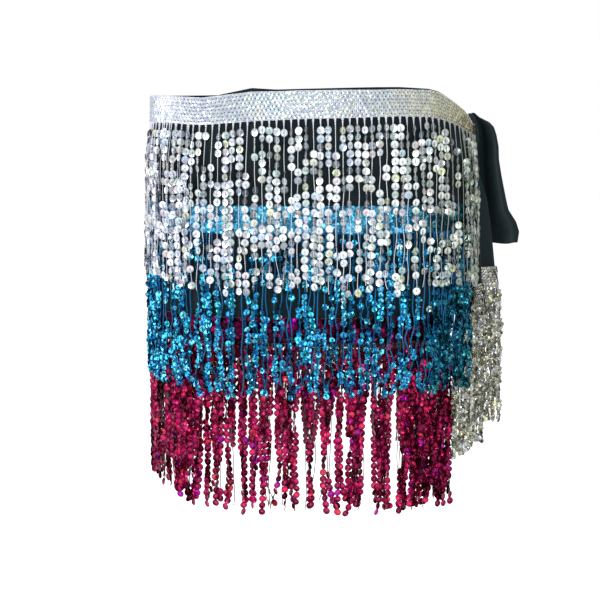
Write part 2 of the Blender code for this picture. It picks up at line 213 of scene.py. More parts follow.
def closed_shell(name, outer, inner, cut):
    """A thin closed piece between two grids of points, which keeps each point's place on the flat cut."""
    rows, columns = outer.shape[:2]
    corner = np.arange(rows * columns).reshape(rows, columns)
    front = np.stack((corner[:-1, :-1], corner[1:, :-1], corner[1:, 1:], corner[:-1, 1:]), axis=-1)
    front = front.reshape(-1, 4)
    rim = np.concatenate((corner[0], corner[1:, -1], corner[-1, -2::-1], corner[-2:0:-1, 0]))
    after = np.roll(rim, -1)
    side = np.stack((rim, after, after + corner.size, rim + corner.size), axis=-1)
    faces = np.concatenate((front, front[:, ::-1] + corner.size, side))
    mesh = bpy.data.meshes.new(name)
    points = np.concatenate((outer.reshape(-1, 3), inner.reshape(-1, 3)))
    mesh.from_pydata(points.tolist(), [], faces.tolist())
    flat = np.zeros((corner.size, 3))
    flat[:, :2] = np.stack(cut, axis=-1).reshape(-1, 2)
    keep(mesh, "cut", np.concatenate((flat, flat)), "FLOAT_VECTOR")
    mesh.shade_smooth()
    mesh.set_sharp_from_angle(angle=math.radians(50))
    return placed(name, mesh)


def crease_depth(creases, along, height):
    """How far the listed creases press in at places on the cut."""
    depth = np.zeros(np.broadcast(along, height).shape)
    for spot, level, lean, half_width, half_length, deep in creases:
        turn = math.radians(lean)
        side = home_arc(along - spot * MM) if abs(lean) < 90 else along - spot * MM
        drop = height - level * MM
        over = side * math.cos(turn) + drop * math.sin(turn)
        down = drop * math.cos(turn) - side * math.sin(turn)
        depth += deep * MM * np.exp(-(over / (half_width * MM)) ** 2 - (down / (half_length * MM)) ** 2)
    return depth


def feed(tree, made, inputs):
    """A node whose inputs are each set to a value or joined to another node's output."""
    for key, value in inputs.items():
        if isinstance(value, bpy.types.NodeSocket):
            tree.links.new(value, made.inputs[key])
        else:
            made.inputs[key].default_value = value
    return made


def node(tree, kind, inputs=None, **settings):
    """A new node with its settings and inputs."""
    made = tree.nodes.new(kind)
    for key, value in settings.items():
        setattr(made, key, value)
    return feed(tree, made, inputs or {})


def sums(tree, operation, *values):
    """A Math node's output."""
    return node(tree, "ShaderNodeMath", dict(enumerate(values)), operation=operation).outputs[0]


def mixed(tree, share, first, second, blend="MIX"):
    """A blend of two colours."""
    blended = node(tree, "ShaderNodeMix", {0: share, 6: first, 7: second}, data_type="RGBA", blend_type=blend)
    return blended.outputs[2]


def opaque(colour, gain=1.0):
    """A colour made lighter or darker, with its alpha."""
    return (*(gain * part for part in colour), 1.0)


def new_tree(name, kind, inputs, outputs):
    """A node group with named inputs and outputs, and the sockets that give its inputs."""
    tree = bpy.data.node_groups.new(name, kind)
    for way, sockets in (("INPUT", inputs), ("OUTPUT", outputs)):
        for title, socket in sockets:
            tree.interface.new_socket(title, in_out=way, socket_type="NodeSocket" + socket)
    return tree, node(tree, "NodeGroupInput").outputs


def new_material(name):
    """A material with its tree and its shader."""
    material = bpy.data.materials.new(name)
    material.use_nodes = True
    return material, material.node_tree, material.node_tree.nodes["Principled BSDF"]


def knit_group():
    """Rows of knit stitches: their relief, and a painted shade that darkens the colour between the wales."""
    tree, given = new_tree("knit_stitches", "ShaderNodeTree",
                           (("Cut", "Vector"), ("Stitches per metre", "Float")),
                           (("Relief", "Float"), ("Shade", "Float")))
    spot = node(tree, "ShaderNodeSeparateXYZ", {0: given["Cut"]})
    wale = sums(tree, "MULTIPLY", spot.outputs["X"], given["Stitches per metre"])
    course = sums(tree, "MULTIPLY", spot.outputs["Y"], given["Stitches per metre"])
    loop = sums(tree, "ABSOLUTE", sums(tree, "SINE", sums(tree, "MULTIPLY", wale, math.pi)))
    lean = sums(tree, "ADD", sums(tree, "MULTIPLY", course, 2 * math.pi), sums(tree, "MULTIPLY", loop, 2.0))
    rib = sums(tree, "MULTIPLY_ADD", sums(tree, "SINE", lean), 0.3, 0.7)
    relief = sums(tree, "MULTIPLY", loop, rib)
    fuzz = node(tree, "ShaderNodeTexNoise", {"Vector": given["Cut"], "Scale": 900.0, "Detail": 2.0})
    node(tree, "NodeGroupOutput", {
        "Relief": sums(tree, "MULTIPLY_ADD", fuzz.outputs[0], 0.35, relief),
        "Shade": sums(tree, "MULTIPLY_ADD", relief, 0.6, 0.5),
    })
    return tree


KNIT = knit_group()


def stitched(tree, stitches, distance):
    """The painted shade of knit or woven stitches by their place on the cut, and their bump."""
    cut = node(tree, "ShaderNodeAttribute", attribute_name="cut")
    stitch = node(tree, "ShaderNodeGroup", node_tree=KNIT)
    feed(tree, stitch, {"Cut": cut.outputs["Vector"], "Stitches per metre": stitches})
    bump = node(tree, "ShaderNodeBump", {"Strength": 0.5, "Distance": distance,
                                         "Height": stitch.outputs["Relief"]})
    return stitch.outputs["Shade"], bump.outputs[0]


def knit_material(name, colour, stitches, cast_scale):
    """Black stretch knit: stitches with painted shade between them, a broad uneven cast of tone, and the soft
    sheen of its fibres.
    """
    material, tree, shader = new_material(name)
    shade, bump = stitched(tree, stitches, 0.35 * MM)
    place = node(tree, "ShaderNodeTexCoord")
    cast = node(tree, "ShaderNodeTexNoise", {"Vector": place.outputs["Object"], "Scale": cast_scale,
                                             "Detail": 3.0})
    # painted shade between the stitches, times the uneven tone
    tone = sums(tree, "MULTIPLY", shade, sums(tree, "MULTIPLY_ADD", cast.outputs[0], 1.4, 0.3))
    feed(tree, shader, {
        "Base Color": mixed(tree, tone, opaque(colour, 0.4), opaque(colour, 1.8)), "Normal": bump,
        "Roughness": sums(tree, "MULTIPLY_ADD", cast.outputs[0], 0.2, 0.72), "Specular IOR Level": 0.1,
        "Sheen Weight": 0.02, "Sheen Roughness": 0.45, "Sheen Tint": (0.62, 0.74, 0.86, 1.0)})
    return material


black_knit = knit_material("black_knit", (0.0050, 0.0096, 0.0112), 900.0, 14.0)

arc, height = strip_grid(lambda a: edge_height(1, a), lambda a: np.full_like(a, HEM_HEIGHT), *WRAP_GRID)
sewn_down = np.zeros_like(height)
for band_top, band_bottom in ((edge_height(2, arc), edge_height(3, arc)), BLUE_BAND, CRIMSON_BAND):
    inside = np.minimum(band_top - height, height - band_bottom) + SEAM_EASE
    sewn_down = np.maximum(sewn_down, np.clip(inside / SEAM_EASE, 0, 1))
pressed = crease_depth(WRAP_CREASES, arc, height) * (1 - sewn_down)
wrap = closed_shell("wrap", on_wrap(arc, height, -pressed), on_wrap(arc, height, -pressed - WRAP_WALL),
                    (arc, height))
wrap.data.materials.append(black_knit)

# The knot: the wrap's two top corners tied over each other, a lump of folded knit that bulges between the
# ends and is drawn in where one corner passes round the other.
KNOT_HEIGHT = -0.044
KNOT_STAND = 1.5 * MM
KNOT_HALF = {"out": 10 * MM, "along": 13 * MM, "top": 23.5 * MM, "foot": 17 * MM}
KNOT_PINCH = 0.12
KNOT_GRID = (40, 64)
KNOT_FOLD = 0.9 * MM


def knot_points():
    """A grid over the knot, from its top to its bottom, with folds that wind across it."""
    slope = np.linspace(0, math.pi, KNOT_GRID[0])[:, None]
    swing = np.linspace(0, 2 * math.pi, KNOT_GRID[1], endpoint=False)[None, :]
    centre = on_wrap(KNOT_ARC, KNOT_HEIGHT, KNOT_STAND)
    along = on_wrap(KNOT_ARC + MM, KNOT_HEIGHT) - on_wrap(KNOT_ARC - MM, KNOT_HEIGHT)
    along /= np.linalg.norm(along)
    outward = np.array((along[1], -along[0], 0.0))
    pinch = 1 - KNOT_PINCH * (0.5 + 0.5 * np.cos(4 * (slope - math.pi / 2) + swing))
    winding = 3 * swing + 5.5 * np.cos(slope + 0.5) + 0.7 * np.sin(2 * slope)
    fold = KNOT_FOLD * (np.abs(np.sin(winding)) ** 0.7 - 1) * np.sin(slope)
    reach = np.sin(slope)
    sideways = (KNOT_HALF["along"] + fold) * reach * np.cos(swing)
    outwards = (KNOT_HALF["out"] + fold) * reach * np.sin(swing) * pinch
    rise = np.where(slope < math.pi / 2, KNOT_HALF["top"], KNOT_HALF["foot"])
    upwards = np.broadcast_to((rise + fold) * np.cos(slope), sideways.shape)
    return (centre + along * sideways[..., None] + outward * outwards[..., None]
            + np.array((0.0, 0.0, 1.0)) * upwards[..., None])


def knot_mesh(points):
    """The knot's grid closed at both poles."""
    rows, turns = KNOT_GRID
    ring = np.arange((rows - 2) * turns).reshape(rows - 2, turns)
    after = np.roll(ring, -1, axis=1)
    top, bottom = ring.size, ring.size + 1
    faces = np.stack((ring[:-1], ring[1:], after[1:], after[:-1]), axis=-1).reshape(-1, 4).tolist()
    faces += [(top, first, second) for first, second in zip(ring[0], after[0])]
    faces += [(bottom, second, first) for first, second in zip(ring[-1], after[-1])]
    places = np.concatenate((points[1:-1].reshape(-1, 3), points[:1, 0], points[-1:, 0]))
    mesh = bpy.data.meshes.new("knot_folds")
    mesh.from_pydata(places.tolist(), [], [tuple(int(k) for k in face) for face in faces])
    keep(mesh, "cut", places[:, [1, 2, 0]] * (1, 1, 0), "FLOAT_VECTOR")
    mesh.shade_smooth()
    return mesh


knot = placed("tied_knot", knot_mesh(knot_points()))
knot.data.materials.append(black_knit)
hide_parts("knot")
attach(knot, "root")

# The plain end: one end of the cloth that comes out of the knot and hangs beside it, pleated across its
# width by the tie, flaring downwards to a turned hem.
TIE_WALL = 1.3 * MM
TIE_PLEATS = 1.5
TIE_GRID = (90, 72)
TIE_WIDTH = 0.07
TIE_STEP = 0.01
TIE_END = np.array((
    # height, inner_x, outer_x, middle_y, pleat, all in millimetres, from the bottom up
    (-158.2, 175.0, 222.5, 36.0, 8.0),
    (-146.5, 173.5, 224.0, 36.0, 8.4),
    (-135.9, 172.5, 220.5, 36.0, 8.5),
    (-123.0, 172.0, 212.0, 36.0, 8.4),
    (-111.5, 172.0, 209.0, 36.0, 8.2),
    (-87.2, 172.0, 203.5, 35.5, 7.6),
    (-69.4, 172.0, 200.0, 34.5, 7.0),
    (-55.8, 171.6, 198.9, 33.0, 6.2),
    (-43.2, 170.6, 195.8, 31.0, 5.0),
    (-34.8, 170.4, 192.5, 29.5, 4.0),
    (-29.7, 170.2, 187.2, 28.5, 3.0),
    (-24.5, 169.6, 176.0, 27.0, 1.5),
    (-20.0, 168.4, 170.0, 26.0, 0.6),
)) * MM
TIE_CREASES = (
    # share of the width in thousandths, height, lean, half_width, half_length, depth
    (180, -60, 1, 50, 60, 0.9),
    (420, -90, -1, 60, 70, 1.1),
    (640, -70, 1, 50, 50, 0.8),
    (860, -110, -2, 60, 60, 1.0),
)


def tie_plan(share, height):
    """Plan points of the plain end at shares of its width."""
    inner, outer, middle, pleat = (read(TIE_END, column, height) for column in (1, 2, 3, 4))
    return np.stack((inner + (outer - inner) * share,
                     middle - pleat * np.cos(2 * math.pi * TIE_PLEATS * share)), axis=-1)


share = np.broadcast_to(np.linspace(0, 1, TIE_GRID[1]), TIE_GRID)
height = np.broadcast_to(np.linspace(TIE_END[-1, 0], TIE_END[0, 0], TIE_GRID[0])[:, None], TIE_GRID)
along = tie_plan(share + TIE_STEP, height) - tie_plan(share - TIE_STEP, height)
outward = np.stack((along[..., 1], -along[..., 0]), axis=-1) / np.linalg.norm(along, axis=-1, keepdims=True)
pressed = crease_depth(TIE_CREASES, share, height)


def tie_face(out):
    """One face of the plain end, at a distance from its middle."""
    plan = tie_plan(share, height) + outward * out[..., None]
    return np.concatenate((plan, height[..., None]), axis=-1)


tie_end = closed_shell("plain_end", tie_face(TIE_WALL / 2 - pressed), tie_face(-TIE_WALL / 2 - pressed),
                       (share * TIE_WIDTH, height))
tie_end.data.materials.append(black_knit)

# The tail: the cloth's other end, gathered under the knot and fanned out below it. It lies in the slit,
# and its far half folds out and back on itself down to the hem.
TAIL_TOP = -0.0615
TAIL_TOP_ARC = 0.2436
TAIL_TOP_WIDTH = 0.012
TAIL_GAP = 4 * MM
TAIL_WALL = 1.2 * MM
TAIL_GRID = (60, 200)
TAIL_SWING = 0.8
TAIL_FOLDS = np.array((
    # arc, out, hem height, all in millimetres, along the hem, over its two pleats
    (146.5, 0.0, -217.5),
    (160.0, 0.0, -217.5),
    (174.0, 0.0, -217.5),
    (188.0, 0.6, -217.5),
    (200.0, 2.2, -217.4),
    (207.0, 5.0, -217.3),
    (212.0, 9.0, -217.2),
    (215.5, 12.6, -216.6),
    (218.5, 12.0, -213.0),
    (220.5, 8.6, -208.0),
    (222.5, 5.4, -204.2),
    (225.5, 4.8, -202.5),
    (228.5, 8.6, -202.0),
    (230.5, 14.0, -202.0),
    (232.5, 20.5, -202.0),
    (235.0, 28.0, -202.0),
    (238.5, 33.0, -202.0),
    (242.0, 32.0, -202.4),
    (244.5, 25.0, -203.4),
    (246.5, 15.0, -204.6),
)) * MM
TAIL_PLAN = on_wrap(TAIL_FOLDS[:, 0], HEM_HEIGHT, TAIL_FOLDS[:, 1])[:, :2]
TAIL_LENGTHS = np.concatenate(((0.0,), np.cumsum(np.linalg.norm(np.diff(TAIL_PLAN, axis=0), axis=1))))
TAIL_WIDTH = TAIL_LENGTHS[-1]
TAIL_TUCK = np.linspace(-11, -1, 11)[None, :] * MM
TAIL_STEP = 0.2 * MM
TUCK_DEPTH = 2.1 * MM
TUCK_EASE = 4 * MM


def tail_fold(length):
    """Arc, stand-off and hem height at distances along the tail's hem, on a curve through its rows."""
    spot = np.interp(length, TAIL_LENGTHS, range(len(TAIL_FOLDS)))
    row = np.minimum(spot.astype(int), len(TAIL_FOLDS) - 2)
    blend = (spot - row)[..., None]
    before, start, end, after = (TAIL_FOLDS[np.clip(row + step, 0, len(TAIL_FOLDS) - 1)]
                                 for step in (-1, 0, 1, 2))
    return 0.5 * (2 * start + (end - before) * blend + (2 * before - 5 * start + 4 * end - after) * blend ** 2
                  + (3 * start - before - 3 * end + after) * blend ** 3)


def tail_face(length, height):
    """Points of the tail's outer face."""
    fold = tail_fold(length)
    gathered = TAIL_TOP_ARC + TAIL_TOP_WIDTH * length / TAIL_WIDTH
    edge = read(SLIT_EDGES, 1, height) + TAIL_GAP
    spread = np.clip((TAIL_TOP_ARC - edge) / (TAIL_TOP_ARC - TAIL_FOLDS[0, 0]), 0.0, 1.0)
    return on_wrap(gathered + (fold[..., 0] - gathered) * spread, height, fold[..., 1] * spread ** TAIL_SWING)


def on_tail(length, height, out=0.0):
    """Points that stand out from the tail's outer face."""
    length = np.clip(length, 0.0, TAIL_WIDTH)
    length, height, out = np.broadcast_arrays(length, np.asarray(height, float), out)
    along = (tail_face(np.minimum(length + TAIL_STEP, TAIL_WIDTH), height)
             - tail_face(np.maximum(length - TAIL_STEP, 0.0), height))
    outward = np.stack((along[..., 1], -along[..., 0], np.zeros(length.shape)), axis=-1)
    outward /= np.linalg.norm(outward, axis=-1, keepdims=True)
    return tail_face(length, height) + outward * out[..., None]


def tail_hem(length):
    """The height of the tail's hem at distances along it."""
    return tail_fold(np.clip(np.asarray(length, float), 0.0, TAIL_WIDTH))[..., 2]


def tucked(out):
    """The tail's near edge carried on under the wrap's front edge."""
    edge = height[:, :1]
    near = read(SLIT_EDGES, 1, edge) + TAIL_GAP
    behind = out - TUCK_DEPTH * np.minimum(-TAIL_TUCK / TUCK_EASE, 1.0)
    return on_wrap(near + TAIL_TUCK, edge + 0 * TAIL_TUCK, behind)


length = np.broadcast_to(np.linspace(0, TAIL_WIDTH, TAIL_GRID[1]), TAIL_GRID)
drop = np.broadcast_to(np.linspace(0, 1, TAIL_GRID[0])[:, None], TAIL_GRID)
height = TAIL_TOP + drop * (tail_hem(length) - TAIL_TOP)
tail = closed_shell("tail", np.concatenate((tucked(0.0), on_tail(length, height)), axis=1),
                    np.concatenate((tucked(-TAIL_WALL), on_tail(length, height, -TAIL_WALL)), axis=1),
                    (np.concatenate((TAIL_TUCK + 0 * height[:, :1], length), axis=1),
                     np.concatenate((height[:, :1] + 0 * TAIL_TUCK, height), axis=1)))
tail.data.materials.append(black_knit)

# The sequin trims: narrow stretch tapes with strung rows of overlapping cup sequins, sewn flat to the cloth,
# each with a binding thread along its two edges. The silver rows are finer and closer than the coloured ones.
TRIMS = {
    # rows, the sequins' pitch and radius, how unevenly in mm they lie, how far they tip and are turned
    "fine": {"rows": 7, "pitch": 3.95 * MM, "radius": 2.75 * MM, "uneven": 0.32, "tip": 0.07, "lap": 0.08},
    "coarse": {"rows": 5, "pitch": 4.8 * MM, "radius": 3.3 * MM, "uneven": 0.4, "tip": 0.26, "lap": 0.15},
}
STAGGER = 0.5
ROW_START = 2 * MM
TAPE_OUT = 0.3 * MM
TAPE_WALL = 0.5 * MM
TAPE_BELOW = 0.4 * MM
BAND_GRID = (41, 420)
FOIL_WALL = 0.15 * MM
ROW_MARGIN = 0.8
SEQUIN_STAND = 0.3
THREAD_STAND = 0.5 * MM
EDGE_THREAD = 0.6 * MM


def cup_sequin(name, radius, cup, sides):
    """One closed cup sequin that faces +Z, with its distance from the middle kept as an attribute."""
    turns = np.linspace(0, 2 * math.pi, sides, endpoint=False)
    rim = np.stack((radius * np.cos(turns), radius * np.sin(turns), np.zeros(sides)), axis=-1)
    points = [*rim.tolist(), (0, 0, -cup), (0, 0, -cup - FOIL_WALL)]
    ring = range(sides)
    faces = [(k, (k + 1) % sides, sides) for k in ring]
    faces += [((k + 1) % sides, k, sides + 1) for k in ring]
    mesh = bpy.data.meshes.new(name)
    mesh.from_pydata(points, [], faces)
    keep(mesh, "reach", [1.0] * sides + [0.0, 0.0])
    mesh.shade_smooth()
    mesh.set_sharp_from_angle(angle=math.radians(60))
    return placed(name, mesh)


def foil_group():
    """Holographic foil: fine flakes over a sequin, the bright ones partly painted glints, its dark thread
    hole, and painted shade at its rim and round its middle.
    """
    tree, given = new_tree("sequin_foil", "ShaderNodeTree", (
        ("Colour", "Color"), ("Flake colour", "Color"), ("Hole colour", "Color"), ("Flakes", "Float"),
        ("Dark flakes", "Float"), ("Rim shade", "Float"), ("Dimple", "Float"), ("Hole size", "Float")),
        (("Colour", "Color"), ("Roughness", "Float")))
    place = node(tree, "ShaderNodeTexCoord")
    # the foil's fine speckle; its bright flakes are partly painted glints
    flake = node(tree, "ShaderNodeTexVoronoi", {"Vector": place.outputs["Object"], "Scale": 620.0})
    spark = node(tree, "ShaderNodeSeparateColor", {0: flake.outputs["Color"]})
    amount = sums(tree, "MULTIPLY", sums(tree, "POWER", spark.outputs[0], 2.0), given["Flakes"])
    bright = mixed(tree, amount, given["Colour"], given["Flake colour"])
    dull = sums(tree, "MULTIPLY", sums(tree, "GREATER_THAN", spark.outputs[2], 0.58), given["Dark flakes"])
    flaked = mixed(tree, dull, bright, BLACK)
    reach = node(tree, "ShaderNodeAttribute", attribute_name="reach").outputs["Fac"]
    # painted shade: darker towards the rim, and round the middle by the centre shade
    rim = node(tree, "ShaderNodeMapRange", {0: reach, 1: 0.62, 2: 1.0, 3: 0.0, 4: given["Rim shade"]})
    centre_shade = node(tree, "ShaderNodeMapRange", {0: reach, 1: 0.15, 2: 0.45, 3: given["Dimple"], 4: 0.0})
    shaded = mixed(tree, sums(tree, "MAXIMUM", rim.outputs[0], centre_shade.outputs[0]), flaked, BLACK)
    hole = sums(tree, "LESS_THAN", reach, given["Hole size"])
    node(tree, "NodeGroupOutput", {
        "Colour": mixed(tree, hole, shaded, given["Hole colour"]),
        "Roughness": sums(tree, "MULTIPLY_ADD", spark.outputs[1], 0.22, 0.14)})
    return tree


BLACK = (0.0, 0.0, 0.0, 1.0)
FOIL = foil_group()
CAST_RANGE = (-0.18, 0.20)
LEFT_HIP = (0.07, 0.15)


def sequin_material(name, colours, painted_light, flake_colour, hole_colour, amounts, metallic):
    """Foil sequins in colours drawn from a list of shares, under painted shade and painted reflection tints
    that change across the hips.

    The amounts are of bright flakes, which are partly painted glints, dark flakes, the rim's painted shade,
    the painted shade round the middle, and the hole's size.
    """
    material, tree, shader = new_material(name)
    tint = node(tree, "ShaderNodeAttribute", attribute_name="tint")
    ramp = node(tree, "ShaderNodeValToRGB", {0: tint.outputs["Fac"]})
    ramp.color_ramp.interpolation = "CONSTANT"
    stops = ramp.color_ramp.elements
    stops[0].position, stops[0].color = 0.0, opaque(colours[0][1])
    stops[1].position, stops[1].color = colours[1][0], opaque(colours[1][1])
    for start, colour in colours[2:]:
        stops.new(start).color = opaque(colour)
    # painted light across the hips by X: painted shade and painted reflection tints multiply the foil's
    # colour
    place = node(tree, "ShaderNodeTexCoord")
    spot = node(tree, "ShaderNodeSeparateXYZ", {0: place.outputs["Object"]})
    share = node(tree, "ShaderNodeMapRange", {0: spot.outputs["X"], 1: CAST_RANGE[0], 2: CAST_RANGE[1]})
    cast = node(tree, "ShaderNodeValToRGB", {0: share.outputs[0]})
    shades = cast.color_ramp.elements
    shades[0].color, shades[1].color = opaque(painted_light[0][1]), opaque(painted_light[-1][1])
    for x, colour in painted_light[1:-1]:
        shades.new((x - CAST_RANGE[0]) / (CAST_RANGE[1] - CAST_RANGE[0])).color = opaque(colour)
    foil = feed(tree, node(tree, "ShaderNodeGroup", node_tree=FOIL), {
        "Colour": ramp.outputs[0], "Flake colour": opaque(flake_colour), "Hole colour": opaque(hole_colour),
        **dict(zip(("Flakes", "Dark flakes", "Rim shade", "Dimple", "Hole size"), amounts))})
    feed(tree, shader, {
        "Base Color": mixed(tree, 1.0, foil.outputs["Colour"], cast.outputs[0], "MULTIPLY"),
        "Roughness": foil.outputs["Roughness"], "Metallic": metallic, "Specular IOR Level": 0.2})
    return material


def thread_material(name, colour, far_colour, roughness):
    """Twisted sewing thread with painted shade between its turns, and a second colour towards the left hip,
    which for the silver thread is painted shade.
    """
    material, tree, shader = new_material(name)
    place = node(tree, "ShaderNodeTexCoord").outputs["Object"]
    twist = node(tree, "ShaderNodeTexWave", {"Vector": place, "Scale": 160.0, "Distortion": 6.0},
                 bands_direction="Z")
    spot = node(tree, "ShaderNodeSeparateXYZ", {0: place})
    far = node(tree, "ShaderNodeMapRange", {0: spot.outputs["X"], 1: LEFT_HIP[0], 2: LEFT_HIP[1]})
    tone = mixed(tree, far.outputs[0], opaque(colour), opaque(far_colour))
    # painted shade between the thread's turns
    dark = sums(tree, "MULTIPLY_ADD", twist.outputs["Fac"], -0.45, 0.45)
    feed(tree, shader, {"Base Color": mixed(tree, dark, tone, BLACK), "Roughness": roughness,
                        "Specular IOR Level": 0.2})
    return material


def tape_material(name, colour):
    """The woven tape that the sequins are sewn to, with painted shade between its stitches."""
    material, tree, shader = new_material(name)
    shade, bump = stitched(tree, 700.0, 0.3 * MM)
    feed(tree, shader, {"Base Color": mixed(tree, shade, opaque(colour, 0.35), opaque(colour)),
                        "Normal": bump, "Roughness": 0.7})
    return material


def attribute(tree, name, kind="FLOAT"):
    """A named attribute's output."""
    return node(tree, "GeometryNodeInputNamedAttribute", {"Name": name}, data_type=kind).outputs[0]


def chance(tree, low, high, seed):
    """A random number for each point or instance."""
    drawn = node(tree, "FunctionNodeRandomValue", {2: low, 3: high, "Seed": seed}, data_type="FLOAT")
    return drawn.outputs[1]


def new_geometry_tree(name, inputs):
    """A geometry tree with named inputs."""
    body = ("Geometry", "Geometry")
    return new_tree(name, "GeometryNodeTree", (body, *inputs), (body,))


def joined(tree, *parts):
    """The tree's result: its parts as one mesh."""
    whole = node(tree, "GeometryNodeJoinGeometry")
    for part in parts:
        tree.links.new(part, whole.inputs[0])
    node(tree, "NodeGroupOutput", {0: whole.outputs[0]})
    return tree


def sewn_sequins(tree, given, points, facing):
    """Sequins on points, turned to face a vector, unevenly tipped and sized, each with its own tint."""
    seed = given["Seed"]
    tip = given["Tip"]
    low = sums(tree, "MULTIPLY", tip, -1.0)
    wobble = node(tree, "ShaderNodeCombineXYZ", {axis: chance(tree, low, tip, sums(tree, "ADD", seed, number))
                                                 for axis, number in (("X", 1), ("Y", 2), ("Z", 3))})
    turned = node(tree, "ShaderNodeVectorMath", {0: facing, 1: wobble.outputs[0]}, operation="ADD")
    rotation = node(tree, "FunctionNodeAlignRotationToVector", {"Vector": turned.outputs[0]}, axis="Z")
    size = chance(tree, given["Smallest"], 1.0, sums(tree, "ADD", seed, 4))
    sequin = node(tree, "GeometryNodeObjectInfo", {"Object": given["Sequin"], "As Instance": True})
    strung = node(tree, "GeometryNodeInstanceOnPoints", {
        "Points": points, "Instance": sequin.outputs["Geometry"], "Rotation": rotation.outputs[0],
        "Scale": size})
    tinted = node(tree, "GeometryNodeStoreNamedAttribute", {
        "Geometry": strung.outputs[0], "Name": "tint",
        "Value": chance(tree, 0.0, 1.0, sums(tree, "ADD", seed, 5)),
    }, data_type="FLOAT", domain="INSTANCE")
    real = node(tree, "GeometryNodeRealizeInstances", {"Geometry": tinted.outputs[0]})
    return node(tree, "GeometryNodeSetMaterial", {"Geometry": real.outputs[0],
                                                  "Material": given["Sequin finish"]}).outputs[0]


def laid_threads(tree, given, curve):
    """Threads of three sides along curves, spread to a flat loop where they leave the tape."""
    profile = node(tree, "GeometryNodeCurvePrimitiveCircle", {"Resolution": 3,
                                                              "Radius": given["Thread radius"]})
    faded = sums(tree, "EXPONENT", sums(tree, "MULTIPLY", attribute(tree, "drop"), -300.0))
    spread = sums(tree, "MULTIPLY_ADD", faded, given["Root spread"], 1.0)
    tube = node(tree, "GeometryNodeCurveToMesh", {"Curve": curve, "Profile Curve": profile.outputs[0],
                                                  "Fill Caps": True, "Scale": spread})
    smooth = node(tree, "GeometryNodeSetShadeSmooth", {"Geometry": tube.outputs[0]})
    return node(tree, "GeometryNodeSetMaterial", {"Geometry": smooth.outputs[0],
                                                  "Material": given["Thread finish"]}).outputs[0]


SEWN_INPUTS = (("Sequin", "Object"), ("Sequin finish", "Material"), ("Thread finish", "Material"),
               ("Thread radius", "Float"), ("Root spread", "Float"), ("Tip", "Float"), ("Smallest", "Float"),
               ("Seed", "Int"))


def rows_tree():
    """Strung rows: a sequin on each loose point, and a thread along each edge."""
    tree, given = new_geometry_tree("sequin_rows", (*SEWN_INPUTS, ("Lap", "Float")))
    sewn = sums(tree, "GREATER_THAN", attribute(tree, "sewn"), 0.5)
    points = node(tree, "GeometryNodeMeshToPoints", {"Mesh": given["Geometry"], "Selection": sewn})
    facing = node(tree, "ShaderNodeVectorRotate", {"Vector": attribute(tree, "outward", "FLOAT_VECTOR"),
                                                   "Axis": (0.0, 0.0, 1.0), "Angle": given["Lap"]})
    sequins = sewn_sequins(tree, given, points.outputs[0], facing.outputs[0])
    curve = node(tree, "GeometryNodeMeshToCurve", {"Mesh": given["Geometry"]})
    return joined(tree, laid_threads(tree, given, curve.outputs[0]), sequins)


def path_object(name, lines, spots):
    """A mesh of thread paths and of loose sewing points.

    A path is a tuple of points, outward directions and where it is left bare, and a run of sewing points
    is a tuple of points and outward directions.
    """
    points, outwards, sewn, drops, numbers, bares, edges = [], [], [], [], [], [], []
    total = 0
    for number, (line, outward, bare) in enumerate(lines):
        steps = np.linalg.norm(np.diff(line, axis=0), axis=1)
        points.append(line)
        outwards.append(outward)
        sewn.append(np.zeros(len(line)))
        drops.append(np.concatenate(((0.0,), np.cumsum(steps))))
        numbers.append(np.full(len(line), float(number)))
        bares.append(np.zeros(len(line)) + bare)
        edges += [(total + k, total + k + 1) for k in range(len(line) - 1)]
        total += len(line)
    for spot, outward in spots:
        points.append(spot)
        outwards.append(outward)
        sewn.append(np.ones(len(spot)))
        for values in (drops, numbers, bares):
            values.append(np.zeros(len(spot)))
    mesh = bpy.data.meshes.new(name)
    mesh.from_pydata(np.concatenate(points).tolist(), edges, [])
    for title, values in (("sewn", sewn), ("drop", drops), ("strand", numbers), ("bare", bares)):
        keep(mesh, title, np.concatenate(values))
    keep(mesh, "outward", np.concatenate(outwards), "FLOAT_VECTOR")
    return placed(name, mesh)


def made_real(piece, tree, values):
    """The piece with a geometry tree applied, as a plain mesh."""
    modifier = piece.modifiers.new("made", "NODES")
    modifier.node_group = tree
    for item in tree.interface.items_tree:
        if item.item_type == "SOCKET" and item.in_out == "INPUT" and item.name in values:
            modifier[item.identifier] = values[item.name]
    view = bpy.context.evaluated_depsgraph_get()
    mesh = bpy.data.meshes.new_from_object(piece.evaluated_get(view), depsgraph=view)
    old = piece.data
    piece.modifiers.remove(modifier)
    piece.data = mesh
    mesh.name = piece.name
    bpy.data.meshes.remove(old)
    return piece


def outward_of(place, along, height):
    """Directions that point away from a surface at places on it."""
    away = place(along, height, 1 * MM) - place(along, height, 0.0)
    return away / np.linalg.norm(away, axis=-1, keepdims=True)


ROWS = rows_tree()
CUP_DEPTH = 0.2
trim_sequins = {name: cup_sequin(name + "_sequin", trim["radius"], CUP_DEPTH * trim["radius"], 10)
                for name, trim in TRIMS.items()}

# Silver sequins: the pale tints are the foil's own hologram colours; the mid and dark greys are painted shade
# for sequins turned away.
SILVER = ((0.0, (0.86, 0.86, 0.91)), (0.40, (0.60, 0.60, 0.69)), (0.52, (0.50, 0.59, 0.57)),
          (0.61, (0.30, 0.32, 0.36)), (0.72, (0.60, 0.57, 0.50)), (0.79, (0.46, 0.56, 0.70)),
          (0.85, (0.64, 0.54, 0.60)), (0.90, (0.16, 0.18, 0.20)), (0.965, (0.64, 0.64, 0.42)))
SILVER_TRIM = ((0.0, (0.45, 0.47, 0.52)), (0.30, (0.39, 0.41, 0.49)), (0.55, (0.41, 0.48, 0.48)),
               (0.75, (0.48, 0.47, 0.46)), (0.88, (0.36, 0.40, 0.50)))
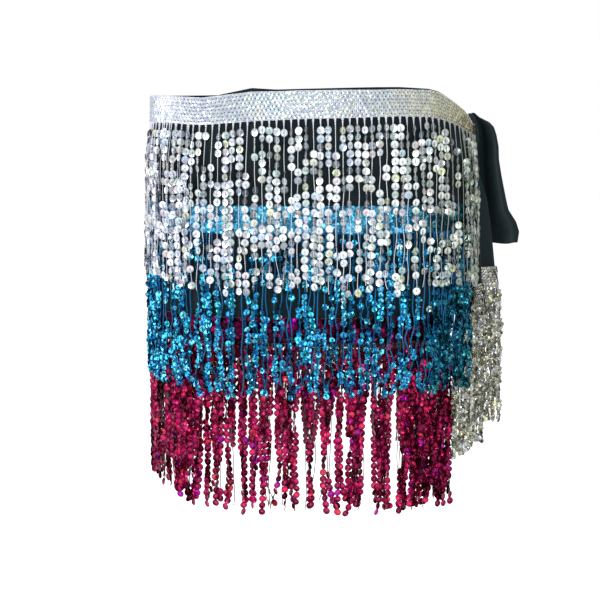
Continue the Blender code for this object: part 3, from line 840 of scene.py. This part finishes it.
# The tail's sequins are the same silver sequins, painted khaki and darker for the shade and the olive
# reflection they take there.
TAIL_SHADED_SILVER = ((0.0, (0.31, 0.31, 0.25)), (0.28, (0.20, 0.21, 0.18)), (0.48, (0.40, 0.40, 0.31)),
        (0.66, (0.30, 0.34, 0.38)), (0.80, (0.10, 0.11, 0.10)), (0.90, (0.62, 0.60, 0.34)),
        (0.96, (0.62, 0.70, 0.78)))
# Blue sequins: shades of blue, with painted shade in the darkest navy and painted highlights in the pale cyan
# and near-white ones.
BLUE = ((0.0, (0.004, 0.15, 0.45)), (0.22, (0.005, 0.27, 0.70)), (0.46, (0.010, 0.43, 0.94)),
        (0.68, (0.040, 0.64, 1.00)), (0.84, (0.006, 0.46, 0.64)), (0.92, (0.18, 0.76, 1.00)),
        (0.985, (0.90, 0.97, 1.00)))
BLUE_TRIM = ((0.0, (0.030, 0.34, 0.64)), (0.32, (0.060, 0.46, 0.78)), (0.64, (0.010, 0.20, 0.46)),
             (0.82, (0.18, 0.62, 0.88)))
# Crimson sequins: wine, red and purple, with painted shade in the darkest wine and painted highlights in the
# brightest red.
CRIMSON = ((0.0, (0.11, 0.000, 0.022)), (0.32, (0.22, 0.001, 0.046)), (0.64, (0.36, 0.003, 0.078)),
           (0.84, (0.52, 0.008, 0.070)), (0.93, (0.30, 0.000, 0.28)), (0.975, (0.58, 0.030, 0.050)))
# The crimson trim is painted dark as painted shadow, for the shade it lies in under the blue fringe.
CRIMSON_TRIM_IN_SHADOW = ((0.0, (0.008, 0.001, 0.006)), (0.42, (0.030, 0.000, 0.014)), (0.74, (0.10, 0.001, 0.034)),
                (0.90, (0.30, 0.003, 0.060)), (0.95, (0.16, 0.000, 0.15)))
# Painted light across the hips, by X: painted shade and olive on the silver sequins towards the left hip, a
# painted gold reflection there on the silver trim, and painted shade there on the blue and crimson.
SILVER_PAINTED_LIGHT = ((-0.18, (0.90, 0.94, 1.0)), (-0.13, (0.89, 0.94, 1.0)), (-0.04, (0.91, 0.99, 1.0)),
                (0.06, (0.92, 1.0, 1.0)), (0.115, (0.85, 0.92, 0.84)), (0.150, (0.58, 0.64, 0.54)),
                (0.20, (0.48, 0.54, 0.44)))
SILVER_TRIM_PAINTED_LIGHT = ((-0.18, (0.90, 0.90, 1.0)), (-0.13, (0.94, 0.94, 1.0)), (-0.04, (0.92, 1.0, 1.0)),
              (0.06, (0.96, 1.0, 0.98)), (0.115, (0.98, 0.95, 0.74)), (0.150, (1.0, 0.92, 0.58)),
              (0.20, (0.9, 0.84, 0.6)))
EVEN_CASTS = ((-0.18, (1.0, 1.0, 1.0)), (0.0, (1.0, 1.0, 1.0)), (0.20, (1.0, 1.0, 1.0)))
BLUE_PAINTED_SHADE = ((-0.18, (1.0, 1.0, 1.0)), (-0.15, (1.0, 1.0, 1.0)), (-0.125, (0.85, 0.86, 0.88)),
              (0.09, (0.85, 0.86, 0.88)), (0.125, (0.24, 0.30, 0.25)), (0.20, (0.20, 0.28, 0.22)))
CRIMSON_PAINTED_SHADE = ((-0.18, (1.0, 1.0, 1.0)), (0.08, (1.0, 1.0, 1.0)), (0.20, (0.55, 0.6, 0.55)))
WHITE = (1.0, 1.0, 1.0)
silver_foil = sequin_material("silver_sequins", SILVER, SILVER_PAINTED_LIGHT, WHITE, (0.10, 0.11, 0.12),
                              (0.35, 0.08, 0.45, 0.30, 0.15), 0.75)
silver_trim_foil = sequin_material("silver_trim_sequins", SILVER_TRIM, SILVER_TRIM_PAINTED_LIGHT, WHITE, (0.05, 0.055, 0.06),
                                   (0.25, 0.04, 0.06, 0.3, 0.22), 0.45)
tail_foil = sequin_material("tail_sequins", TAIL_SHADED_SILVER, EVEN_CASTS, (1.0, 1.0, 0.85), (0.04, 0.04, 0.04),
                            (0.4, 0.30, 0.35, 0.2, 0.2), 0.75)
blue_foil = sequin_material("blue_sequins", BLUE, BLUE_PAINTED_SHADE, (0.18, 0.86, 1.0), (0.0, 0.03, 0.06),
                            (0.85, 0.75, 0.4, 0.0, 0.17), 0.9)
blue_trim_foil = sequin_material("blue_trim_sequins", BLUE_TRIM, BLUE_PAINTED_SHADE, (0.24, 0.80, 1.0),
                                 (0.0, 0.05, 0.10), (0.7, 0.45, 0.2, 0.0, 0.17), 0.8)
# the crimson sequins' pale pink hole colour is partly the hole and partly a painted highlight at each middle
crimson_foil = sequin_material("crimson_sequins", CRIMSON, CRIMSON_PAINTED_SHADE, (0.80, 0.06, 0.22),
                               (0.22, 0.07, 0.085), (0.3, 0.3, 0.9, 0.25, 0.24), 0.9)
crimson_trim_foil = sequin_material("crimson_trim_sequins", CRIMSON_TRIM_IN_SHADOW, CRIMSON_PAINTED_SHADE, (0.30, 0.01, 0.09),
                                    (0.02, 0.00, 0.01), (0.2, 0.4, 0.5, 0.0, 0.2), 0.9)
# the silver thread's second colour is painted shade towards the left hip
silver_thread = thread_material("silver_thread", (0.68, 0.69, 0.77), (0.24, 0.26, 0.23), 0.35)
tail_thread = thread_material("tail_thread", (0.36, 0.37, 0.31), (0.36, 0.37, 0.31), 0.4)
blue_thread = thread_material("blue_thread", (0.002, 0.12, 0.29), (0.002, 0.12, 0.29), 0.35)
crimson_thread = thread_material("crimson_thread", (0.10, 0.055, 0.058), (0.10, 0.055, 0.058), 0.5)
silver_tape = tape_material("silver_tape", (0.10, 0.11, 0.12))
blue_tape = tape_material("blue_tape", (0.005, 0.05, 0.08))
crimson_tape = tape_material("crimson_tape", (0.05, 0.002, 0.010))


def level(height):
    """A height function that is the same all round."""
    return lambda place: np.full(np.shape(place), height)


def sew_band(name, node_name, place, spots_of, trim_name, tape, finish, thread, seed):
    """A tape on the cloth with its rows of sequins and its edge threads, at places from spots_of."""
    trim = TRIMS[trim_name]
    along, height = spots_of(np.linspace(0, 1, 7))
    tape_piece = closed_shell(name + "_tape", place(along, height, TAPE_OUT + TAPE_WALL),
                              place(along, height, TAPE_OUT), (along, height))
    tape_piece.data.materials.append(tape)
    draw = np.random.default_rng(seed)
    along, height = spots_of(np.array((0.0, 1.0)))
    margin = ROW_MARGIN * trim["radius"] / np.mean(height[0] - height[1])
    along, height = spots_of(np.linspace(margin, 1 - margin, trim["rows"]))
    out = TAPE_OUT + TAPE_WALL + SEQUIN_STAND * trim["radius"]
    spots = []
    for row in range(trim["rows"]):
        steps = np.linalg.norm(np.diff(place(along[row], height[row]), axis=0), axis=1)
        length = np.concatenate(((0.0,), np.cumsum(steps)))
        count = int((length[-1] - 2 * ROW_START) / trim["pitch"])
        uneven = draw.uniform(-1, 1, (2, count)) * trim["uneven"] * MM
        at = ROW_START + trim["pitch"] * (np.arange(count) + STAGGER * (row % 2)) + uneven[0]
        where = np.interp(at, length, along[row])
        up = np.interp(at, length, height[row]) + uneven[1]
        spots.append((place(where, up, out), outward_of(place, where, up)))
    along, height = spots_of(np.array((0.0, 1.0)))
    lines = [(place(along[row], height[row], TAPE_OUT + TAPE_WALL + THREAD_STAND),
              outward_of(place, along[row], height[row]), 0.0) for row in (0, 1)]
    sequins = made_real(path_object(name + "_sequins", lines, spots), ROWS, {
        "Sequin": trim_sequins[trim_name], "Sequin finish": finish, "Thread finish": thread,
        "Thread radius": EDGE_THREAD, "Tip": trim["tip"], "Smallest": 0.9, "Seed": seed,
        "Lap": trim["lap"]})
    for piece in (tape_piece, sequins):
        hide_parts(node_name)
        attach(piece, "root")
    return tape_piece, sequins


def wrap_spots(top_of, bottom_of):
    """Places on the wrap at shares of the height between two edges."""
    def spots_of(shares):
        arc, height = strip_grid(top_of, bottom_of, *BAND_GRID)
        rows = np.interp(shares, np.linspace(0, 1, BAND_GRID[0]), np.arange(BAND_GRID[0]))
        low = rows.astype(int).clip(0, BAND_GRID[0] - 2)
        part = (rows - low)[:, None]
        return arc[low] * (1 - part) + arc[low + 1] * part, height[low] * (1 - part) + height[low + 1] * part
    return spots_of


silver_band = sew_band("silver_band", "band_silver", on_wrap,
                       wrap_spots(lambda a: edge_height(2, a), lambda a: edge_height(3, a) - TAPE_BELOW),
                       "fine", silver_tape, silver_trim_foil, silver_thread, 21)
blue_band = sew_band("blue_band", "band_blue", on_wrap,
                     wrap_spots(level(BLUE_BAND[0]), level(BLUE_BAND[1] - TAPE_BELOW)),
                     "coarse", blue_tape, blue_trim_foil, blue_thread, 22)
crimson_band = sew_band("crimson_band", "band_crimson", on_wrap,
                        wrap_spots(level(CRIMSON_BAND[0]), level(CRIMSON_BAND[1] - TAPE_BELOW)),
                        "coarse", crimson_tape, crimson_trim_foil, crimson_thread, 23)
TAIL_BAND_HEIGHT = 0.021
TAIL_BAND_LIFT = 0.3 * MM
TAIL_BAND_STEPS = 160


def tail_spots(shares):
    """Places on the tail at shares of the height of its band, which follows the hem."""
    steps = np.linspace(0.5 * MM, TAIL_WIDTH - 0.5 * MM, TAIL_BAND_STEPS)
    along = np.broadcast_to(steps, (len(shares), TAIL_BAND_STEPS))
    return along, tail_hem(along) + TAIL_BAND_HEIGHT - shares[:, None] * (TAIL_BAND_HEIGHT - TAIL_BAND_LIFT)


tail_band = sew_band("tail_band", "band_tail", on_tail, tail_spots,
                     "fine", silver_tape, tail_foil, tail_thread, 24)

# The fringes: single threads knotted into the lower edge of each tape, strung with cup sequins in short runs
# with bare thread between them. Each tier hangs outside the one below it, so the hems show in three steps.
def strands_tree():
    """Strung threads: runs of sequins along each path, turned about the thread, with gaps between runs."""
    tree, given = new_geometry_tree("sequin_strands", (
        *SEWN_INPUTS, ("Pitch", "Float"), ("Bare top", "Float"), ("Run", "Float"), ("Gap share", "Float"),
        ("Gap fade", "Float"), ("Turn", "Float"), ("Turn length", "Float"), ("Push", "Float"),
        ("Forward", "Float")))
    curve = node(tree, "GeometryNodeMeshToCurve", {"Mesh": given["Geometry"]})
    drop, strand = attribute(tree, "drop"), attribute(tree, "strand")
    rank = node(tree, "ShaderNodeTexNoise", {"W": sums(tree, "MULTIPLY", strand, 0.31), "Scale": 1.0,
                                             "Detail": 1.0}, noise_dimensions="1D")
    start = sums(tree, "MULTIPLY", rank.outputs[0], given["Pitch"])
    strung_part = node(tree, "GeometryNodeTrimCurve", {"Curve": curve.outputs[0], 4: start, 5: PAST_TIP},
                       mode="LENGTH")
    points = node(tree, "GeometryNodeCurveToPoints", {"Curve": strung_part.outputs[0],
                                                      "Length": given["Pitch"]}, mode="LENGTH")
    outward = attribute(tree, "outward", "FLOAT_VECTOR")
    shift = node(tree, "ShaderNodeTexWhiteNoise", {"W": strand}, noise_dimensions="1D").outputs[0]
    run = sums(tree, "FLOOR", sums(tree, "ADD", sums(tree, "DIVIDE", drop, given["Run"]), shift))
    cell = node(tree, "ShaderNodeCombineXYZ", {"X": run, "Y": strand, "Z": given["Seed"]})
    draw = node(tree, "ShaderNodeTexWhiteNoise", {"Vector": cell.outputs[0]}, noise_dimensions="3D")
    faded = sums(tree, "MULTIPLY", drop, given["Gap fade"])
    bare = sums(tree, "LESS_THAN", draw.outputs[0], sums(tree, "SUBTRACT", given["Gap share"], faded))
    above = sums(tree, "LESS_THAN", drop, given["Bare top"])
    strung = node(tree, "GeometryNodeDeleteGeometry", {
        "Geometry": points.outputs[0],
        "Selection": sums(tree, "MAXIMUM", sums(tree, "MAXIMUM", bare, above), attribute(tree, "bare"))},
        domain="POINT")
    track = node(tree, "ShaderNodeCombineXYZ", {
        "X": sums(tree, "DIVIDE", drop, given["Turn length"]), "Y": sums(tree, "MULTIPLY", strand, 3.7),
        "Z": given["Seed"]})
    drift = node(tree, "ShaderNodeTexNoise", {"Vector": track.outputs[0], "Scale": 1.0, "Detail": 1.0})
    lean = sums(tree, "MULTIPLY_ADD", drift.outputs[0], 2.0, -1.0)
    ahead = sums(tree, "ABSOLUTE", node(tree, "ShaderNodeSeparateXYZ", {0: outward}).outputs["Y"])
    calm = sums(tree, "MULTIPLY_ADD", ahead, 0.75, 0.25)
    yaw = sums(tree, "MULTIPLY", sums(tree, "MULTIPLY", lean, given["Turn"]), calm)
    facing = node(tree, "ShaderNodeVectorRotate", {"Vector": outward, "Axis": (0.0, 0.0, 1.0), "Angle": yaw})
    stand = sums(tree, "MULTIPLY_ADD", sums(tree, "ABSOLUTE", sums(tree, "SINE", yaw)), given["Push"],
                 given["Forward"])
    offset = node(tree, "ShaderNodeVectorMath", {0: outward, "Scale": stand}, operation="SCALE")
    moved = node(tree, "GeometryNodeSetPosition", {"Geometry": strung.outputs[0],
                                                   "Offset": offset.outputs[0]})
    sequins = sewn_sequins(tree, given, moved.outputs[0], facing.outputs[0])
    return joined(tree, laid_threads(tree, given, curve.outputs[0]), sequins)


PAST_TIP = 9.0
STRANDS = strands_tree()
STRAND_STEP = 4 * MM
ROOT_STEPS = (0.0, 0.8 * MM, 1.7 * MM, 2.8 * MM)
ROOT_OUT = 1.2 * MM
CURL_LENGTH = 0.03
SHORT_STRUNG = (0.34, 0.56)
DENSE_DELAY = 0.26
TIERS = {
    # for the silver, the blue and the crimson tier: strands, and the arcs of the first and the last
    "count": (122, 146, 176),
    "first": (-0.647, -0.622, -0.593),
    "last": (0.204, 0.170, 0.141),
    # more strands between two arcs, where the trim is doubled, and arcs where they part later
    "extra": (((-0.235, -0.125, 14), (0.160, 0.204, 6)), ((-0.235, -0.160, 9), (0.120, 0.171, 15)),
              ((-0.215, -0.108, 14), (0.090, 0.1436, 21))),
    "dense": ((), (), ((-0.24, -0.108), (0.090, 0.15))),
    # the tips' height, how uneven they are, and their share of the shorter cut
    "tip": (-0.188, -0.288, -0.402),
    "uneven": (5 * MM, 6 * MM, 8 * MM),
    "lift": (0.45, 0.3, 1.0),
    # how far the strands stand off, after what drop, and how much more at the tips
    "stand": (4.6 * MM, 3.0 * MM, 1.1 * MM),
    "free": (0.034, 0.028, 0.050),
    "swell": (0.8 * MM, 1.0 * MM, 0.6 * MM),
    # sideways sway and the length of its waves, and the chance and the reach of a curled end
    "sway": (1.4 * MM, 2.4 * MM, 1.5 * MM),
    "wave": (0.05, 0.035, 0.08),
    "curl": (0.15, 0.7, 0.5),
    "curl_reach": (4 * MM, 9 * MM, 8 * MM),
    # how far strands lean together and follow the partings, and the shares of the fall where that happens
    "pairing": (1.3 * MM, 2.8 * MM, 1.2 * MM),
    "parted": (0.0, 0.0, 1.0),
    "opens": ((0.06, 0.34), (0.06, 0.34), (0.26, 0.46)),
    # the chance of a bare thread, and of one that is strung only over its upper half
    "bare": (0.03, 0.06, 0.03),
    "short": (0.0, 0.0, 0.2),
    "seed": (31, 32, 33),
}
TIP_LIFTS = np.array((
    # arc, and how much shorter the strands are cut there, towards the right hip
    (-0.26, 0.006),
    (-0.21, 0.020),
    (-0.17, 0.018),
    (-0.14, 0.007),
    (-0.10, 0.0),
    (0.15, 0.0),
    (0.20, 0.004),
))
PARTINGS = (
    # across the front, and half the width of the gap, in millimetres
    (-106.8, 3.0), (-99.5, 3.0), (-85.8, 2.0), (-74.5, 3.4), (-63.3, 2.6), (-55.0, 2.2), (-36.9, 2.8),
    (-14.0, 3.4), (6.6, 2.8), (20.7, 2.6), (30.0, 3.2), (53.9, 5.0), (77.9, 4.4), (94.5, 2.2),
)
PARTING_REACH = 11 * MM
FAR_PARTING = 1.2
FRONT_HALF = math.radians(85)
EYE = (-0.0125, -1.25)


def parting_arcs():
    """Arcs of the partings at the front, and of the same partings in the far side's strands behind them."""
    plan = oval(ANGLES, *WIDEST)
    front = np.abs(ANGLES) < FRONT_HALF
    spots = []
    for x, half in PARTINGS:
        near = np.interp(x * MM, plan[front, 0], ARCS[front])
        slope = (x * MM - EYE[0]) / (np.interp(x * MM, plan[front, 0], plan[front, 1]) - EYE[1])
        off = np.abs(plan[:, 0] - EYE[0] - slope * (plan[:, 1] - EYE[1])) + np.where(plan[:, 1] > 0, 0.0, 1.0)
        spots += [(near, half * MM), (ARCS[np.argmin(off)], half * MM * FAR_PARTING)]
    return spots


PARTING_ARCS = parting_arcs()


def parted(arc):
    """How far a strand moves aside from the partings near it."""
    shift = 0.0
    for spot, half in PARTING_ARCS:
        away = home_arc(arc - spot)
        if abs(away) < PARTING_REACH:
            shift += math.copysign(half, away) * (1 - abs(away) / PARTING_REACH)
    return shift


def strand_lines(tier, root_of):
    """Thread paths of one tier, from its tape to its uneven and partly curled tips."""
    sizes = {key: row[tier] for key, row in TIERS.items()}
    draw = random.Random(sizes["seed"])
    lines = []
    spans = ((sizes["first"], sizes["last"], sizes["count"]), *sizes["extra"])
    for middle in np.concatenate([np.linspace(*span) for span in spans]):
        root = float(root_of(np.array(middle)))
        tip = sizes["tip"] + draw.uniform(-1, 1) * sizes["uneven"]
        tip = tip + sizes["lift"] * read(TIP_LIFTS, 1, middle)
        drop = np.linspace(STRAND_STEP, root - tip, max(int((root - tip) / STRAND_STEP), 2))
        drop = np.concatenate((ROOT_STEPS, drop))
        share = drop / drop[-1]
        sway = 0.0
        for _ in range(3):
            reach = sizes["sway"] * draw.uniform(0.3, 0.7) * share
            wave = sizes["wave"] * draw.uniform(0.6, 1.5)
            sway = sway + reach * np.sin(2 * math.pi * drop / wave + draw.uniform(0, 6.3))
        dense = any(low < middle < high for low, high in sizes["dense"])
        gather = ((draw.uniform(-1, 1) * sizes["pairing"] + sizes["parted"] * parted(middle))
                  * np.interp(share - DENSE_DELAY * dense, sizes["opens"], (0.0, 1.0)))
        curl = draw.uniform(-1, 1) * sizes["curl_reach"] if draw.random() < sizes["curl"] else 0.0
        bend = curl * np.clip((drop - drop[-1] + CURL_LENGTH) / CURL_LENGTH, 0, 1) ** 2
        out = ROOT_OUT + (sizes["stand"] - ROOT_OUT) * np.clip(drop / sizes["free"], 0, 1)
        out = out + sizes["swell"] * np.clip(share * 1.5 - 0.5, 0, 1) + draw.uniform(0, 0.8) * MM * share
        arc = middle + sway + gather + bend
        strung = draw.uniform(*SHORT_STRUNG) if draw.random() < sizes["short"] * (not dense) else 2.0
        bare = np.where(share > strung, 1.0, 1.0 if draw.random() < sizes["bare"] else 0.0)
        lines.append((on_wrap(arc, root - drop, out), outward_of(on_wrap, arc, root - drop), bare))
    return lines


silver_sequin = cup_sequin("silver_sequin", 3.95 * MM, 0.7 * MM, 12)
blue_sequin = cup_sequin("blue_sequin", 3.6 * MM, 1.1 * MM, 12)
crimson_sequin = cup_sequin("crimson_sequin", 3.75 * MM, 1.0 * MM, 12)
tail_sequin = cup_sequin("tail_sequin", 3.1 * MM, 0.9 * MM, 10)
STRUNG = {
    # for the silver, the blue, the crimson and the tail's strands: the sequins' spacing and the bare top
    "Pitch": (7.6 * MM, 5.6 * MM, 6.4 * MM, 4.4 * MM),
    "Bare top": (0.0065, 0.006, 0.004, 0.004),
    # the length of a run, the share of runs without sequins at the top, and its loss for each metre of drop
    "Run": (19 * MM, 22 * MM, 26 * MM, 30 * MM),
    "Gap share": (0.09, 0.50, 0.0, 0.0),
    "Gap fade": (-1.9, 2.3, -0.8, 0.0),
    # how far sequins turn about the thread and over what length, and how far they stand out from it
    "Turn": (3.2, 4.4, 3.8, 5.0),
    "Turn length": (0.03, 0.020, 0.035, 0.02),
    "Push": (0.6 * MM, 1.4 * MM, 0.3 * MM, 0.8 * MM),
    "Forward": (0.0, 0.4 * MM, 1.3 * MM, 0.5 * MM),
    # how far they tip, the smallest one's scale, and the thread with its flat loop at the tape
    "Tip": (0.16, 0.5, 0.22, 0.5),
    "Smallest": (0.95, 0.78, 0.92, 0.75),
    "Thread radius": (0.44 * MM, 0.85 * MM, 0.5 * MM, 0.55 * MM),
    "Root spread": (3.4, 1.0, 1.0, 1.0),
    "Seed": (41, 42, 43, 44),
}


def hang_fringe(name, node_name, lines, column, sequin, finish, thread):
    """One tier's strands as one plain mesh, strung by a column of the table."""
    fringe = made_real(path_object(name, lines, ()), STRANDS, {
        "Sequin": sequin, "Sequin finish": finish, "Thread finish": thread,
        **{key: row[column] for key, row in STRUNG.items()}})
    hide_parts(node_name)
    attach(fringe, "root")
    return fringe


silver_fringe = hang_fringe("silver_strands", "fringe_silver",
                            strand_lines(0, lambda a: edge_height(3, a)),
                            0, silver_sequin, silver_foil, silver_thread)
blue_fringe = hang_fringe("blue_strands", "fringe_blue", strand_lines(1, level(BLUE_BAND[1])),
                          1, blue_sequin, blue_foil, blue_thread)
crimson_fringe = hang_fringe("crimson_strands", "fringe_crimson",
                             strand_lines(2, level(CRIMSON_BAND[1])),
                             2, crimson_sequin, crimson_foil, crimson_thread)

TAIL_STRANDS = 40
TAIL_CROWDING = 1.15
TAIL_FALL = 0.145
TAIL_UNEVEN = 4 * MM
TAIL_OUT = 1.4 * MM
TAIL_SWAY = 1.5 * MM
TAIL_WAVE = 0.012


def tail_lines():
    """Thread paths that hang from the tail's folded hem, closer together at its near edge."""
    draw = random.Random(34)
    lines = []
    for number in range(TAIL_STRANDS):
        middle = 1 * MM + (TAIL_WIDTH - 3 * MM) * (number / (TAIL_STRANDS - 1)) ** TAIL_CROWDING
        root = float(tail_hem(middle)) + 2 * MM
        fall = TAIL_FALL + draw.uniform(-1, 1) * TAIL_UNEVEN
        drop = np.linspace(0, fall, int(fall / STRAND_STEP))
        share = drop / fall
        along = middle + TAIL_SWAY * share * np.sin(drop / TAIL_WAVE + draw.uniform(0, 6.3))
        along = np.clip(along, 0.0, TAIL_WIDTH)
        out = TAIL_OUT + draw.uniform(0, 1.2) * MM * share
        lines.append((on_tail(along, root - drop, out), outward_of(on_tail, along, root - drop), 0.0))
    return lines


tail_fringe = hang_fringe("tail_strands", "fringe_tail", tail_lines(),
                          3, tail_sequin, tail_foil, tail_thread)

for sample in (*trim_sequins.values(), silver_sequin, blue_sequin, crimson_sequin, tail_sequin):
    bpy.data.objects.remove(sample, do_unlink=True)

# The three cloths and what is sewn to each: the wrap is stretched round the hips, the plain end hangs from
# the knot, and the tail is gathered under it. Each flat size is the cut of what shows.
for piece, node_name, flat, area, held, rests_on, sewn in (
        (wrap, "base_cloth", (0.905, 0.250), 0.198, "stretched", ["knot"],
         [*silver_band, *blue_band, *crimson_band, silver_fringe, blue_fringe, crimson_fringe]),
        (tie_end, "tie_end", (0.070, 0.140), None, "hung", ["knot"], []),
        (tail, "tail_cloth", (0.155, 0.158), 0.0150, "gathered", ["knot"], [*tail_band, tail_fringe])):
    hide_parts(node_name)
    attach(piece, "root")

# The studio: a pale floor well below the wrap, soft lamps in front, and the camera at the height of the belt.
floor_mesh = bpy.data.meshes.new("studio_floor")
FLOOR_HALF, FLOOR_HEIGHT = 14.0, -0.95
floor_mesh.from_pydata([(-FLOOR_HALF, -FLOOR_HALF, FLOOR_HEIGHT), (FLOOR_HALF, -FLOOR_HALF, FLOOR_HEIGHT),
                        (FLOOR_HALF, FLOOR_HALF, FLOOR_HEIGHT), (-FLOOR_HALF, FLOOR_HALF, FLOOR_HEIGHT)],
                       [], [(0, 1, 2, 3)])
floor = placed("studio_floor", floor_mesh)
floor_paint, floor_tree, floor_shader = new_material("studio_floor")
feed(floor_tree, floor_shader, {
    "Base Color": (0.95, 0.95, 0.95, 1.0), "Roughness": 0.9, "Specular IOR Level": 0.0,
    "Emission Color": (1.0, 1.0, 1.0, 1.0), "Emission Strength": 0.62})
floor.data.materials.append(floor_paint)

world = bpy.data.worlds.new("studio")
bpy.context.scene.world = world
world.use_nodes = True
sky = world.node_tree.nodes["Background"]
ray = node(world.node_tree, "ShaderNodeLightPath")
strength = node(world.node_tree, "ShaderNodeMapRange", {0: ray.outputs["Is Camera Ray"], 3: 0.45, 4: 1.0})
sky.inputs["Color"].default_value = (1.0, 1.0, 1.0, 1.0)
world.node_tree.links.new(strength.outputs[0], sky.inputs["Strength"])

for name, size, power, place, aim in (
        # width of the lamp, watts, where it stands and what it faces
        ("key_lamp", 0.9, 34.0, (-1.7, -1.6, 0.9), (0.0, 0.0, -0.2)),
        ("front_lamp", 0.5, 12.0, (0.35, -2.2, 0.15), (0.0, 0.0, -0.2)),
        ("fill_lamp", 1.2, 7.5, (1.9, -1.2, 0.6), (0.0, 0.0, -0.2)),
        ("side_lamp", 1.0, 17.0, (-2.0, -0.1, 0.3), (0.0, 0.0, -0.2)),
        ("top_lamp", 2.4, 60.0, (0.0, 0.4, 2.4), (0.0, 0.2, -0.9))):
    lamp = bpy.data.lights.new(name, "AREA")
    lamp.size = size
    lamp.energy = power
    stand = placed(name, lamp)
    stand.location = place
    side = np.array(aim) - np.array(place)
    stand.rotation_euler = (math.atan2(math.hypot(side[0], side[1]), -side[2]), 0.0,
                            math.atan2(side[1], side[0]) - math.pi / 2)

camera = placed("camera", bpy.data.cameras.new("camera"))
camera.location = (-0.0125, -1.25, -0.038)
camera.rotation_euler = (math.radians(81.95), 0.0, 0.0)
camera.data.lens = 72.1
camera.data.sensor_width = 36.0
bpy.context.scene.camera = camera
bpy.context.scene.view_settings.view_transform = "Standard"
